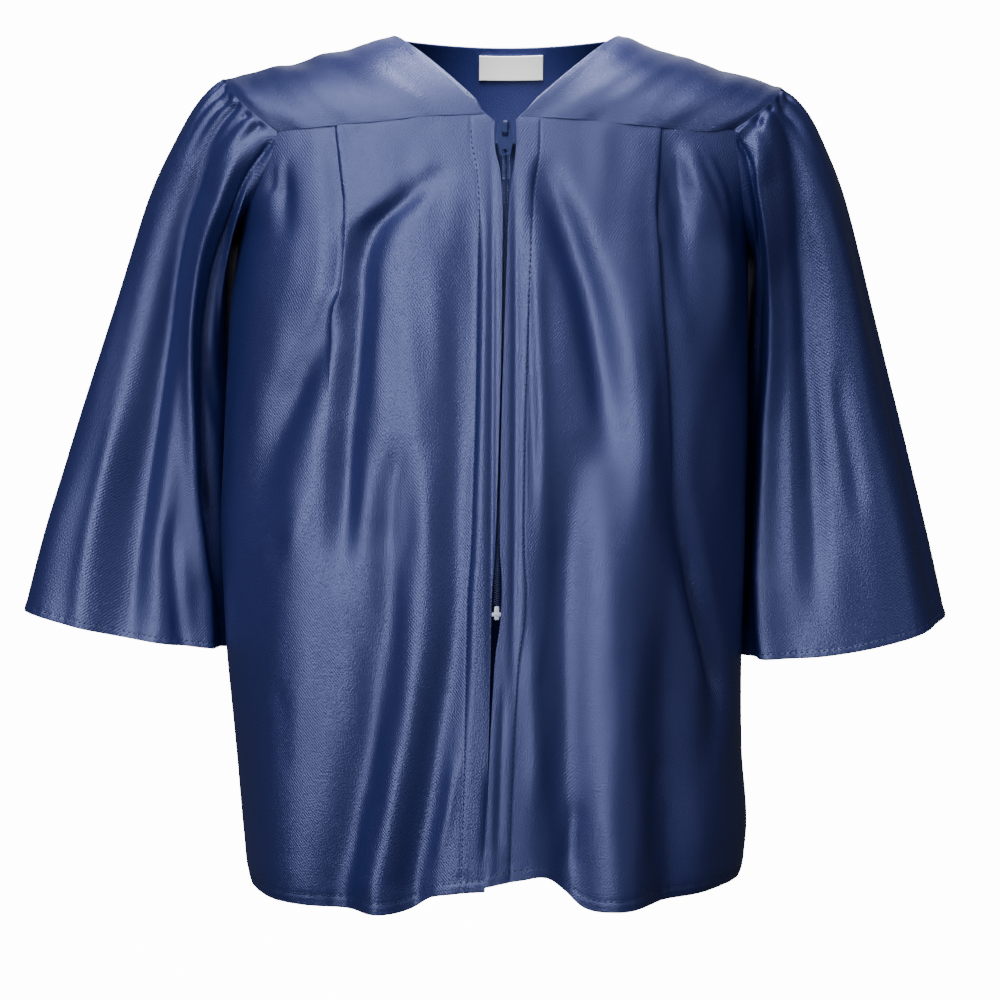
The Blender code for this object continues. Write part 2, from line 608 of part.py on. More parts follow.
def back_grid():
    # rows down from the yoke seam, columns from the right side seam to the left one
    per_side = BACK_COLUMNS // 2
    rows = np.concatenate([np.linspace(0, 1, ARMHOLE_ROWS + 1),
                           np.linspace(1, 2, BACK_SKIRT_ROWS + 1)[1:]])
    middle_under = 0.5 * (SIDES["right"]["underarm"][2] + SIDES["left"]["underarm"][2]) * MM
    halves = []
    for side in ("right", "left"):
        sign = SIDES[side]["sign"]
        under_z = SIDES[side]["underarm"][2] * MM
        edge_z, edge_turn = edge_row(side, "back", rows)
        share = np.linspace(0, 1, per_side + 1)[None, :]
        turn = edge_turn[:, None] * share
        r = np.repeat(rows[:, None], per_side + 1, 1)
        under = middle_under + (under_z - middle_under) * share ** 2
        hem = (BACK_HEM_Z + (HEM[side]["z"][-1] - BACK_HEM_Z) * share ** 2) * MM
        z = row_height(r, share, BACK_YOKE_Z * MM, under, hem)
        width, depth, power = section(side, "back", z)
        a, b = share_of(turn, power)
        x = width * a
        y = SIDE_Y * MM + depth * b
        fall = r / 2
        fold = back_fold_height(sign * x, fall)
        column = np.arange(per_side + 1)[None, :]
        gather = BACK_GATHER * np.where(column % 2 == 0, 1.0, -1.0) * smooth(1 - fall * 2.2)
        fade = smooth((edge_turn[:, None] - turn) / SIDE_FADE) * smooth(r / 0.35)
        height = (fold + gather) * fade
        out_x, out_y = outward(turn, width, depth, power)
        halves.append(np.stack([sign * (x + out_x * height), y + out_y * height, z], -1))
    right, left = halves
    return np.concatenate([right[:, ::-1], left[:, 1:]], 1)


def make_back():
    grid = back_grid()
    inward = facing_in(grid)
    inward[0] = row_inward("back", grid[0])
    arm = slice(0, ARMHOLE_ROWS + 1)
    for column, side in ((0, "right"), (-1, "left")):
        inward[arm, column] = into_armhole(side, grid[arm, column])
        inward[ARMHOLE_ROWS + 1:, column] = [-SIDES[side]["sign"], 0, 0]
    grid = trimmed(grid, ("top", "first", "last"))
    return wall("back", grid, inward, SATIN)


def back_neck(q):
    # the back neck edge from the right neck point to the left one
    right = np.array(SIDES["right"]["neck"]) * MM
    left = np.array(SIDES["left"]["neck"]) * MM
    x = -right[0] + (left[0] + right[0]) * q
    bulge = np.sin(math.pi * q) ** 0.8
    y = RIDGE_Y + 46 * MM * bulge
    z = 16 * MM + 3 * MM * bulge
    return np.stack([x, y, z], -1)


def back_yoke_grid():
    shoulder = np.linspace(1, 0, YOKE_COLUMNS + 1)
    neck = np.linspace(0, 1, NECK_COLUMNS + 1)
    right = shoulder_line("right", shoulder)
    left = shoulder_line("left", shoulder[::-1])
    top = np.concatenate([right, back_neck(neck)[1:-1], left])
    seam = back_grid()[0]
    seam_step = np.concatenate([[0], np.cumsum(np.linalg.norm(np.diff(seam, axis=0), axis=1))])
    seam_step /= seam_step[-1]
    own_x = (top[:, 0] - top[0, 0]) / (top[-1, 0] - top[0, 0])
    foot = np.stack([np.interp(own_x, seam_step, seam[:, k]) for k in range(3)], -1)
    bend = 1.0 + 0.6 * np.abs(2 * own_x - 1) ** 3
    across_neck = np.clip((np.arange(len(top)) - YOKE_COLUMNS) / NECK_COLUMNS, 0, 1)
    reach = math.pi / 2 - NECK_STAND * np.sin(math.pi * across_neck) ** 0.7
    rows = np.linspace(1, 0, YOKE_ROWS + 1)
    return np.stack([quarter_over(foot, top, q, bend, reach) for q in rows])


def make_back_yoke():
    grid = back_yoke_grid()
    inward = facing_in(grid)
    first_neck = YOKE_COLUMNS
    last_neck = grid.shape[1] - YOKE_COLUMNS - 1
    inward[0, :first_neck + 1] = [0, 0, -1]
    inward[0, last_neck:] = [0, 0, -1]
    inward[-1] = row_inward("back", grid[-1])
    inward[:, 0] = into_armhole("right", grid[:, 0])
    inward[:, -1] = into_armhole("left", grid[:, -1])
    grid = trimmed(grid, ("top", "foot"))
    return wall("back_yoke", grid, inward, SATIN)


def armhole_half(side, face):
    # the armhole's edge from the shoulder point to the underarm, front or back
    if face == "front":
        column = front_yoke_grid(side)[:, -1]
    else:
        column = back_yoke_grid()[:, 0 if side == "right" else -1]
    count = len(column) - 1
    fine = np.linspace(0, count, HEAD_STEPS + 1)
    head = np.stack([np.interp(fine, np.arange(count + 1), column[:, k]) for k in range(3)], -1)
    lower, turns = armhole_lower(side, face, np.linspace(0, 1, UNDER_STEPS + 1)[1:])
    lower[:, 0] *= SIDES[side]["sign"]
    return np.concatenate([head, lower])


def sleeve_grid(side):
    table = {key: np.array(value, float) * (1 if key == "leave" else MM)
             for key, value in SLEEVE[side].items()}
    sign = SIDES[side]["sign"]
    half = HEAD_STEPS + UNDER_STEPS
    front = armhole_half(side, "front")
    back = armhole_half(side, "back")
    loop = np.concatenate([front, back[-2:0:-1]])
    own_turn = np.concatenate([np.linspace(0, CORNER_TURN, HEAD_STEPS + 1),
                               np.linspace(CORNER_TURN, 180, UNDER_STEPS + 1)[1:]])
    even_turn = np.linspace(0, 180, half + 1)
    rings = []
    stations = len(table["leave"])

    def oval(k, turn):
        outer = np.array([table["outer_x"][k], 0, table["outer_z"][k]])
        inner = np.array([table["inner_x"][k], 0, table["inner_z"][k]])
        middle = (outer + inner) / 2 + [0, table["middle_y"][k], 0]
        reach = (outer - inner) / 2
        a = np.radians(turn)[:, None]
        return middle + reach * np.cos(a) - np.array([0, table["half_depth"][k], 0]) * np.sin(a), middle

    def both(turn):
        return np.concatenate([turn, -turn[-2:0:-1]])

    loop_own = loop * [sign, 1, 1]
    rest = loop_own - oval(0, both(own_turn))[0]
    for k in range(stations):
        leave = table["leave"][k]
        turn = both(own_turn * (1 - leave) + even_turn * leave)
        ring, middle = oval(k, turn)
        ring = ring + rest * (1 - leave)
        t = k / (stations - 1)
        height = np.zeros(len(turn))
        for fold in SLEEVE_FOLDS[side]:
            first, last = fold["t"][0], fold["t"][-1]
            if not first <= t <= last:
                continue
            centre = np.interp(t, fold["t"], fold["turn"])
            rise = np.interp((t - first) / (last - first), (0, FOLD_FADE, 1 - FOLD_FADE, 1),
                             (fold["ends"][0], 1, 1, fold["ends"][1]))
            depth = fold["depth"] * MM * rise * min(t / FOLD_START, 1)
            height += depth * np.exp(-((turn - centre) / fold["width"]) ** 2)
        outward = unit(ring - middle)
        ring = ring + outward * height[:, None]
        ring[:, 0] += ARMHOLE_GAP
        facing_front = np.clip(np.sin(np.radians(turn)), 0, 1) ** 2
        ring[:, 2] -= table["droop"] * facing_front * max(2 * t - 1, 0) ** 2
        rings.append(ring * [sign, 1, 1])
    return np.stack(rings)


def make_sleeve(side):
    grid = sleeve_grid(side)
    normals = grid_normals(grid, closed=True)
    middle = grid.mean(1, keepdims=True)
    if np.sum(normals * (middle - grid)) < 0:
        normals = -normals
    normals[0] = into_armhole(side, grid[0])
    return wall(f"sleeve_{side}", grid, normals, SATIN, closed=True)


def make_facing(side):
    # the folded strip that stands out under the yoke's neck edge
    grid = front_yoke_grid(side)
    edge = grid[:, 0]
    across = unit(grid[:, 1] - grid[:, 0])
    inward = facing_in(grid)[:, 0]
    down = CLOTH + LAYER_GAP
    show = FACING_SHOW[side] * np.linspace(0.35, 1, len(edge))[:, None]
    columns = np.stack([edge - across * show, edge + across * FACING_UNDER * 0.3, edge + across * FACING_UNDER], 1)
    lifted = columns + inward[:, None, :] * down
    lifted = lifted[1:-1]
    return wall(f"neck_facing_{side}", lifted, np.repeat(inward[1:-1, None, :], 3, 1), SATIN, thick=1.0 * MM)


def on_back_yoke(x, z):
    # point of the back yoke's outer face at x and z, and its direction inwards
    grid = back_yoke_grid()
    inward = facing_in(grid)
    heights = []
    for i in range(len(grid)):
        order = grid[i, :, 0]
        row = [np.interp(x, order, grid[i, :, k]) for k in range(3)]
        heights.append(row + [np.interp(x, order, inward[i, :, k]) for k in range(3)])
    heights = np.array(heights)[::-1]
    return np.array([np.interp(z, heights[:, 2], heights[:, k]) for k in range(6)])


def make_label():
    # bare woven label on the inside of the back yoke, just below the neck edge
    xs = LABEL["x"] + np.linspace(-0.5, 0.5, LABEL_COLUMNS + 1) * LABEL["width"]
    zs = LABEL["z_top"] - np.linspace(0, 1, LABEL_ROWS + 1) * LABEL["height"]
    found = np.array([[on_back_yoke(x, z) for x in xs] for z in zs])
    inward = unit(found[..., 3:])
    points = found[..., :3] + inward * (CLOTH + 1.6 * LAYER_GAP)
    return wall("neck_label", points, inward, LABEL_CLOTH, thick=LABEL["thick"])


def front_middle(z):
    # the zip's line at height z, on the plain front
    x = 0.5 * (along(EDGE["right"], "x", z) + along(EDGE["left"], "x", z))
    return np.stack([x, along(FRONT_DEPTH, "y", z), np.asarray(z)], -1)


def strip(name, z, offsets, front, thick, mat):
    # a strip down the front: columns at offsets along x, its face behind the front's face
    line = front_middle(z)
    grid = np.stack([line + [dx, front, 0] for dx in offsets], 1)
    inward = np.zeros_like(grid)
    inward[..., 1] = 1
    return wall(name, grid, inward, mat, thick=thick)


def make_zip_tapes():
    z = np.linspace(CHAIN_TOP_Z, CHAIN_FOOT_Z - 18 * MM, ZIP_ROWS + 1)
    behind = CLOTH + LAYER_GAP + 1.4 * MM
    near = CHAIN_WIDTH / 2 + LAYER_GAP
    far = near + TAPE_WIDTH
    for side, sign in (("right", -1), ("left", 1)):
        offsets = sorted((sign * near, sign * far))
        strip(f"zip_tape_{side}", z, offsets, behind, TAPE_THICK, TAPE_CLOTH)


def make_chain():
    z = np.linspace(CHAIN_TOP_Z, CHAIN_FOOT_Z, ZIP_ROWS + 1)
    behind = CLOTH + LAYER_GAP
    strip("zip_chain", z, (-CHAIN_WIDTH / 2, CHAIN_WIDTH / 2), behind, CHAIN_THICK, COIL)


def prism(name, outline, y_front, y_back, mat, origin=(0.0, 0.0, 0.0)):
    # an outline in x and z, drawn anticlockwise, given thickness along y
    count = len(outline)
    points = [(x, y_front, z) for x, z in outline] + [(x, y_back, z) for x, z in outline]
    faces = [tuple(range(count)), tuple(range(2 * count - 1, count - 1, -1))]
    for i in range(count):
        j = (i + 1) % count
        faces.append((i, i + count, j + count, j))
    return add_object(name, points, faces, mat, origin)


def ring_prism(name, outer, hole, y_front, y_back, mat, origin):
    # a plate with a hole: both outlines have the same number of points
    count = len(outer)
    points = []
    for y in (y_front, y_back):
        points += [(x, y, z) for x, z in outer]
        points += [(x, y, z) for x, z in hole]
    faces = []
    for i in range(count):
        j = (i + 1) % count
        faces.append((i, j, j + count, i + count))
        faces.append((i + 2 * count, i + 3 * count, j + 3 * count, j + 2 * count))
        faces.append((i, i + 2 * count, j + 2 * count, j))
        faces.append((i + count, j + count, j + 3 * count, i + 3 * count))
    return add_object(name, points, faces, mat, origin)


def make_stop():
    z = CHAIN_FOOT_Z - LAYER_GAP
    centre = front_middle(np.array([z - STOP_HEIGHT / 2]))[0]
    half = STOP_WIDTH / 2
    low = z - STOP_HEIGHT
    outline = [(centre[0] - half * 0.8, low), (centre[0] + half * 0.8, low),
               (centre[0] + half, low + STOP_HEIGHT * 0.3), (centre[0] + half, z),
               (centre[0] - half, z), (centre[0] - half, low + STOP_HEIGHT * 0.3)]
    front = centre[1] + CLOTH + LAYER_GAP
    prism("zip_stop", outline, front, front + STOP_THICK, PALE)


def slider_front():
    # depth of the slider's face
    middle = front_middle(np.array([SLIDER_TOP_Z - SLIDER_LENGTH / 2]))[0]
    return middle[1] - SLIDER_PROUD


def make_slider():
    # the wedge body with its bridge, one closed body from a side profile of three widths
    face = slider_front()
    top = SLIDER_TOP_Z
    foot = top - SLIDER_LENGTH
    x = SLIDER_X
    a, b = SLIDER_TOP_WIDTH / 2, SLIDER_FOOT_WIDTH / 2
    outline = [(x - b, foot), (x + b, foot), (x + a * 0.96, foot + SLIDER_LENGTH * 0.45),
               (x + a, top - 2 * MM), (x + a * 0.6, top), (x - a * 0.6, top), (x - a, top - 2 * MM),
               (x - a * 0.96, foot + SLIDER_LENGTH * 0.45)]
    body = prism("zip_slider", outline, face, face + SLIDER_THICK, ENAMEL)
    high = top - 1.0 * MM
    low = high - BRIDGE_LENGTH
    rise, wire = BRIDGE_RISE, BRIDGE_WIRE
    profile = [(high, 0.6 * MM), (high, -rise * 0.7), (high - 1.6 * MM, -rise), (low + 1.6 * MM, -rise),
               (low, -rise * 0.7), (low, 0.6 * MM), (low + wire, 0.6 * MM), (low + wire, -rise * 0.7 + wire * 0.5),
               (low + wire + 0.8 * MM, -rise + wire), (high - wire - 0.8 * MM, -rise + wire),
               (high - wire, -rise * 0.7 + wire * 0.5), (high - wire, 0.6 * MM)]
    count = len(profile)
    points = []
    for dx in (-BRIDGE_WIDTH / 2, BRIDGE_WIDTH / 2):
        points += [(x + dx, face + dy, z) for z, dy in profile]
    faces = [tuple(range(count)), tuple(range(2 * count - 1, count - 1, -1))]
    for i in range(count):
        j = (i + 1) % count
        faces.append((i, i + count, j + count, j))
    bridge = add_object("bridge_tool", points, faces, ENAMEL)
    join = body.modifiers.new("bridge", "BOOLEAN")
    join.operation = "UNION"
    join.object = bridge
    join.solver = "EXACT"
    bridge.hide_render = True
    bridge.display_type = "WIRE"
    return face, low


def make_pull_tab(face, low):
    # a flat tab whose top bar lies under the bridge; its window takes the bridge's foot
    pivot = np.array([SLIDER_X, face - BRIDGE_INSIDE / 2, low + BRIDGE_WIRE + TAB_BAR + 0.8 * MM])
    bar = TAB_BAR
    head, foot = TAB_HEAD_WIDTH / 2, TAB_FOOT_WIDTH / 2
    x = pivot[0]
    top = pivot[2] + bar
    base = top - TAB_LENGTH
    gap = BRIDGE_WIDTH / 2 + 0.7 * MM
    window_top = pivot[2] - bar
    window_low = low - 1.3 * MM
    outer = [(x - foot, base), (x + foot, base), (x + head, top - 5.5 * MM), (x + head * 0.8, top),
             (x - head * 0.8, top), (x - head, top - 5.5 * MM)]
    hole = [(x - gap, window_low), (x + gap, window_low), (x + gap, window_low + 1.0 * MM),
            (x + gap, window_top), (x - gap, window_top), (x - gap, window_low + 1.0 * MM)]
    y = pivot[1]
    tab = ring_prism("zip_pull_tab", outer, hole, y - TAB_THICK / 2, y + TAB_THICK / 2, ENAMEL, tuple(pivot))
    wide, tall = TAB_HOLE
    floor = base + 1.3 * MM
    slot = [(x - wide / 2, floor), (x + wide / 2, floor), (x + wide / 2, floor + tall), (x - wide / 2, floor + tall)]
    cutter = prism("tab_hole_tool", slot, y - TAB_THICK, y + TAB_THICK, ENAMEL)
    cutter.hide_render = True
    cutter.display_type = "WIRE"
    cut = tab.modifiers.new("hole", "BOOLEAN")
    cut.operation = "DIFFERENCE"
    cut.object = cutter
    cut.solver = "EXACT"


for which in ("right", "left"):
    make_front(which)
    make_front_yoke(which)
    make_sleeve(which)
    make_facing(which)
make_back()
make_back_yoke()
make_label()
make_zip_tapes()
make_chain()
make_stop()
face_y, bridge_foot = make_slider()
make_pull_tab(face_y, bridge_foot)
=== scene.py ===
import math

import bpy
import numpy as np
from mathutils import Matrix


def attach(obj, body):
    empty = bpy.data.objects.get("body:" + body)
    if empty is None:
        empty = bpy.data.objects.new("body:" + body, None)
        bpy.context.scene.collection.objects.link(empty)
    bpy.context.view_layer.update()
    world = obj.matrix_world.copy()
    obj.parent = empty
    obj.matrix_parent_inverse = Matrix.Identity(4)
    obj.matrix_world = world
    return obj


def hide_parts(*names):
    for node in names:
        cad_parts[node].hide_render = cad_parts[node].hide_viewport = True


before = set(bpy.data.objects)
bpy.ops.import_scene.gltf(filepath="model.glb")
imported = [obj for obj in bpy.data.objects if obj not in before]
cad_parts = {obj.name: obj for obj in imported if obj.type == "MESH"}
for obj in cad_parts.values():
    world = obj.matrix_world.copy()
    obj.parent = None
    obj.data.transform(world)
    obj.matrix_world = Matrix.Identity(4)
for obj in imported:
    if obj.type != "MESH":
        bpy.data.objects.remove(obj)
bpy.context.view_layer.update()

mm = 0.001


def rowsOf(names, *rows):
    # a table whose rows hold their values under the given names
    return tuple(dict(zip(names.split(), row)) for row in rows)


# The gown's own shape, in millimetres. x is measured outwards from the middle on each side,
# except in middleEdge and in the back's tables, where it is the true x.
sides = {
    "right": {"sign": -1, "neck": (77, 4, 16), "shoulder": (192, 4, -14), "frontCorner": (151.5, -62, -60.5),
              "backCorner": (152, 62, -72), "underarm": (184, 8, -126), "yokeFoot": 11.2},
    "left": {"sign": 1, "neck": (82, 4, 16), "shoulder": (192.5, 4, -20), "frontCorner": (155, -62, -59),
             "backCorner": (154, 62, -72), "underarm": (171, 8, -138), "yokeFoot": 10.5},
}
sideSeam = {
    "right": {"z": (-600, -578, -566, -540, -473, -400, -330, -283, -210, -160, -126),
              "x": (168, 171, 176, 180.5, 187.5, 194.5, 197.3, 196, 193, 189, 184)},
    "left": {"z": (-600, -578, -566, -547, -480, -382, -325, -250, -185, -138),
             "x": (155, 158, 166, 169.5, 167.5, 168, 169.5, 171.6, 171.5, 171)},
}
depthOf = {
    "front": {"z": (-600, -560, -450, -350, -200, -120, -80, -50),
              "y": (-112, -111, -109, -107, -100, -91, -84, -79)},
    "back": {"z": (-600, -450, -300, -200, -120, -70), "y": (118, 112, 104, 96, 84, 74)},
}
squareness = {"z": (-600, -300, -200, -120, -60), "power": (2.1, 2.15, 2.3, 2.6, 3.0)}
sideY = 8
shoulderY = 4
yokeSeam = {
    "right": {"x": (4.8, 11.2, 52, 79, 113, 151.5), "z": (-57, -51.5, -53, -56, -58.3, -60.5)},
    "left": {"x": (7.8, 10.5, 38, 63, 105, 128, 155), "z": (-57, -53, -54.5, -56.5, -60, -62, -59)},
}
backYokeZ = -72
hemLine = {
    "right": {"x": (-12, 10, 32, 48, 62, 98, 140, 171),
              "z": (-562, -563, -565, -568, -576, -579, -577, -573.5)},
    "left": {"x": (-12, 10, 30, 40, 53, 74, 98, 130, 158),
             "z": (-560, -556, -555.5, -563, -574, -577, -575, -573, -569)},
}
backHemZ = -574
middleEdge = {
    "right": {"z": (-600, -563, -440, -395, -372, -345, -290, -150, -105, -88, -76, -50),
              "x": (-12.3, -11.6, -8.6, -7.8, -7.4, -5.4, -3.3, -0.4, -0.6, -2.2, -4.9, -5.1)},
    "left": {"z": (-600, -563, -480, -440, -412, -395, -372, -345, -290, -150, -120, -100, -80, -50),
             "x": (-12.6, -12.0, -9.2, -7.0, -5.0, -2.4, -0.8, -2.2, -1.9, 2.2, 3.2, 4.6, 7.6, 8.4)},
}
# Folds of the fronts: ridges are raised above 0 and valleys below it
frontFolds = {
    "right": rowsOf(
        "z x raise width",
        ((-85, -109, -126, -146, -180, -220, -275, -350), (39, 65, 85, 94, 97, 100, 104, 107),
         (0, -5, -9, -11, -11, -11, -8, 0), 11),
        ((-265, -330, -382, -430, -480, -560), (70, 71, 76, 83, 92, 108), (0, -5, -7, -8, -9, -9), 15),
        ((-270, -386, -480, -560), (50, 54, 66, 82), (0, 4, 6, 8), 15),
        ((-110, -150, -256, -400, -480, -560), (24, 25, 29, 34, 47, 60), (0, -4, -6, -7, -8, -9), 13),
        ((-172, -200, -235, -280, -340), (115, 125, 140, 156, 164), (0, -6, -9, -6, 0), 14),
        ((-250, -320, -450, -560), (128, 136, 142, 146), (0, 6, 8, 9), 24),
        ((-255, -290, -318, -375), (107, 107, 107, 105), (0, -4, -4, 0), 10),
        ((-76, -100, -135), (150, 148, 146), (0, -4, 0), 6)),
    "left": rowsOf(
        "z x raise width",
        ((-80, -97, -120, -143, -176, -209, -242, -290), (24, 30, 39, 47, 57, 63, 67, 68),
         (0, -5, -10, -12, -12, -10, -7, 0), 12),
        ((-262, -310, -347, -450, -560), (48, 44, 42, 42, 45), (0, -5, -8, -9, -10), 14),
        ((-240, -320, -400, -560), (86, 80, 77, 78), (0, 6, 9, 10), 24),
        ((-120, -170, -240, -360), (20, 21, 24, 27), (0, 4, 4, 0), 6),
        ((-230, -316, -356, -396, -431, -450, -490), (112, 116, 124, 136, 143, 144, 140),
         (0, -4, -7, -8, -7, -4, 0), 8),
        ((-66, -80, -120, -150, -220), (122, 126, 143, 149, 150), (0, 3, 6, 6, 0), 9),
        ((-120, -200, -300, -380), (86, 88, 92, 96), (0, 6, 7, 0), 15),
        ((-66, -100, -140, -190), (112, 116, 120, 122), (0, -6, -6, 0), 8),
        ((-380, -440, -560), (104, 106, 112), (0, -5, -8), 16)),
}
foldsReachHem = -550   # a front fold whose last height lies below this runs on to the hem
# The tuck of each front: its line and how deep its step is
tuckLine = {
    "right": {"z": (-600, -400, -246, -220, -193, -181, -170, -133, -106, -62),
              "x": (120, 118, 116, 116, 116, 114, 109, 105.5, 106, 111),
              "step": (0, 0, 0, 0.6, 1.6, 2.4, 3.2, 3.4, 3.0, 1.2)},
    "left": {"z": (-600, -400, -300, -253, -213, -180, -146, -113, -62),
             "x": (114, 114, 112, 110, 107.4, 105, 103.5, 102, 105),
             "step": (0, 0, 0, 1.6, 2.6, 3.2, 3.4, 3.2, 1.2)},
}
# Folds of the back: their height under the yoke and at the hem
backFolds = rowsOf(
    "x width top hem",
    (-150, 14, -2, -7),
    (-113, 13, 3, 7),
    (-76, 12, -3, -9),
    (-40, 14, 3, 10),
    (-4, 12, -3, -8),
    (32, 14, 2.5, 9),
    (66, 12, -3, -9),
    (100, 13, 3, 7),
    (134, 12, -2, -7))
# Twelve sections of each sleeve, from the armhole to the cuff; leave is how far the armhole's shape is left
sleeveDepth = {
    "halfDepth": (60, 61, 61, 60, 58, 56, 55, 54, 54, 55, 56, 57),
    "middleY": (4, 7, 11, 16, 22, 28, 33, 36, 38, 39, 40, 40),
    "leave": (0, 0.18, 0.4, 0.64, 0.84, 0.96, 1, 1, 1, 1, 1, 1),
}
sleeveShape = {
    "right": {
        "outerX": (192, 204, 216.5, 230, 244, 259, 274.5, 290.5, 307, 322, 333.5, 340),
        "outerZ": (-14, -21, -35, -60, -92, -134, -180, -228, -276, -320, -360, -384),
        "innerX": (184, 188, 190.5, 192.5, 194.5, 196, 196.5, 196.8, 196.8, 196, 194, 192.5),
        "innerZ": (-126, -131, -139, -153, -173, -206, -244, -286, -326, -362, -393, -412),
        **sleeveDepth,
    },
    "left": {
        "outerX": (192.5, 204, 215.5, 227, 240, 253.5, 264.5, 275.5, 288, 301, 311, 316),
        "outerZ": (-20, -27, -40, -62, -92, -136, -178, -222, -270, -322, -366, -390),
        "innerX": (171, 174.5, 176, 177, 177, 176, 175, 174, 172, 170, 168, 167),
        "innerZ": (-138, -142, -149, -162, -181, -214, -250, -290, -328, -366, -398, -416),
        **sleeveDepth,
    },
}
# turn is the angle round the sleeve: 0 outer edge, 90 front, 180 inner edge, minus behind;
# t is the share of its length; raise in millimetres, widths in degrees towards 0 and towards 180
rearFolds = rowsOf(
    "turn t raise width ends",
    ((-14, -20, -26), (0.02, 0.4, 0.8), -3, (6, 9), (0.8, 0)),
    ((-32, -42, -52), (0.02, 0.5, 1.0), -5, (8, 10), (0.5, 0.8)),
    ((-48, -64, -78), (0.02, 0.5, 1.0), -5, (8, 10), (0.5, 1)),
    ((-66, -88, -106), (0.02, 0.5, 1.0), -5, (8, 10), (0.5, 1)),
    ((-100, -120, -140), (0.02, 0.5, 1.0), -5, (10, 12), (0.3, 1)))
sleeveFolds = {
    "right": rowsOf(
        "turn t raise width ends",
        ((56, 80, 90, 92, 92), (0.04, 0.25, 0.5, 0.75, 1.0), -13, (18, 9), (0.3, 0.5)),
        ((74, 98, 108, 119, 128, 140, 140), (0.03, 0.25, 0.45, 0.6, 0.72, 0.85, 1.0), 7, (7, 6),
         (0.4, 0.7)),
        ((94, 116, 126, 136, 144, 156, 158), (0.04, 0.25, 0.45, 0.6, 0.72, 0.85, 1.0), -7, (6, 9),
         (0.4, 0.5)),
        ((104, 130, 152), (0.1, 0.24, 0.44), 5, (5, 6), (0.2, 0.2)),
        ((24, 30, 31, 34), (0.15, 0.45, 0.7, 1.0), 6, (13, 20), (0, 1)),
        ((112, 118, 124), (0.72, 0.86, 1.0), -4, (7, 5), (0.1, 0.8)),
        ((66, 68, 72), (0.6, 0.8, 1.0), 3, (8, 10), (0, 1)),
        ((138, 150), (0.50, 0.56), -4, (8, 8), (0.6, 0.6)),
        ((140, 152), (0.68, 0.73), -4, (8, 8), (0.6, 0.6))) + rearFolds,
    "left": rowsOf(
        "turn t raise width ends",
        ((44, 76, 94, 101, 103, 105), (0.02, 0.2, 0.35, 0.5, 0.65, 0.95), -9, (14, 9), (0.5, 0)),
        ((62, 104, 124, 136, 139, 133), (0.01, 0.18, 0.36, 0.58, 0.8, 1.0), 10, (9, 8), (0.4, 0.9)),
        ((84, 132, 152, 161, 163), (0.02, 0.18, 0.36, 0.6, 0.9), -6, (7, 9), (0.4, 0.4)),
        ((54, 63, 62, 56), (0.2, 0.4, 0.65, 1.0), 4.5, (16, 13), (0, 1)),
        ((102, 106, 112), (0.72, 0.88, 1.0), -2, (14, 12), (0, 1)),
        ((82, 80, 78), (0.55, 0.68, 0.8), -2.5, (6, 5), (0, 0)),
        ((26, 30, 32), (0.3, 0.65, 1.0), -3, (10, 12), (0, 0.6))) + rearFolds,
}
sleeveLength = {"right": 400.0, "left": 385.0}
cuffDroop = {"right": 5.0, "left": 11.0}   # how far the front of each cuff hangs down, mm
innerSwell = {"right": 3.0, "left": 7.0}   # each sleeve's inner side swells towards the body, mm
sleeveSquare = 2.35                        # how square the sleeves' sections are
neckStand = math.radians(42)
cornerTurn = 84
headShare = 16 / 23        # share of each half of the sleeve that lies along the yoke

# Fine creases on the fronts: a path in x (away from the middle) and z, its height and its two half widths
# (the side towards the middle first), all in millimetres
frontCreases = {
    "right": rowsOf(
        "x z raise width",
        ((160, 157, 155), (-72, -86, -102), -2.5, (3, 4)),
        ((150, 151, 152), (-74, -88, -106), 1.6, (3, 5)),
        ((17.5, 18, 19), (-120, -180, -300), -1.8, (2, 6)),
        ((66, 74, 78), (-268, -300, -350), -1.6, (5, 9)),
        ((56, 60, 62), (-170, -230, -290), 1.2, (9, 12)),
        ((128, 134, 142), (-300, -330, -350), 1.4, (5, 9)),
        ((140, 148, 158), (-330, -342, -350), -1.5, (4, 6)),
        ((150, 142, 140), (-420, -450, -500), -1.4, (6, 6)),
        ((30, 36, 46), (-470, -510, -552), 2.0, (4, 5))),
    "left": rowsOf(
        "x z raise width",
        ((17.5, 18, 20), (-120, -200, -330), -1.8, (2, 5)),
        ((122, 129, 140, 148, 150), (-330, -366, -402, -436, -456), -3.0, (4, 6)),
        ((116, 122, 132, 140), (-330, -374, -416, -452), 2.2, (8, 4)),
        ((133, 147, 153), (-70, -100, -132), 2.0, (4, 4)),
        ((116, 121, 124), (-70, -100, -140), -2.4, (4, 6)),
        ((22, 20, 24), (-380, -430, -520), 2.2, (6, 5)),
        ((100, 96, 92), (-210, -250, -300), 1.4, (8, 6)),
        ((104, 98, 100), (-470, -510, -560), -1.4, (6, 8)),
        ((50, 46, 44), (-500, -530, -556), -2.0, (5, 5))),
}
# Troughs along the turned front edges beside the zip, in the same columns
openingCreases = {
    "right": rowsOf(
        "x z raise width",
        ((8.5, 7.6, 7.0, 7.0, 7.6, 8.6), (-64, -84, -110, -200, -330, -460), -2.0, (2.0, 2.8)),
        ((9, 11, 13), (-480, -520, -552), -1.6, (2.4, 3.0))),
    "left": rowsOf(
        "x z raise width",
        ((7.0, 7.6, 8.0, 8.2, 7.6, 5.6), (-64, -84, -110, -200, -330, -460), -2.2, (2.4, 2.8)),
        ((1, -2, -4), (-420, -480, -552), -1.4, (2.4, 3.0))),
}

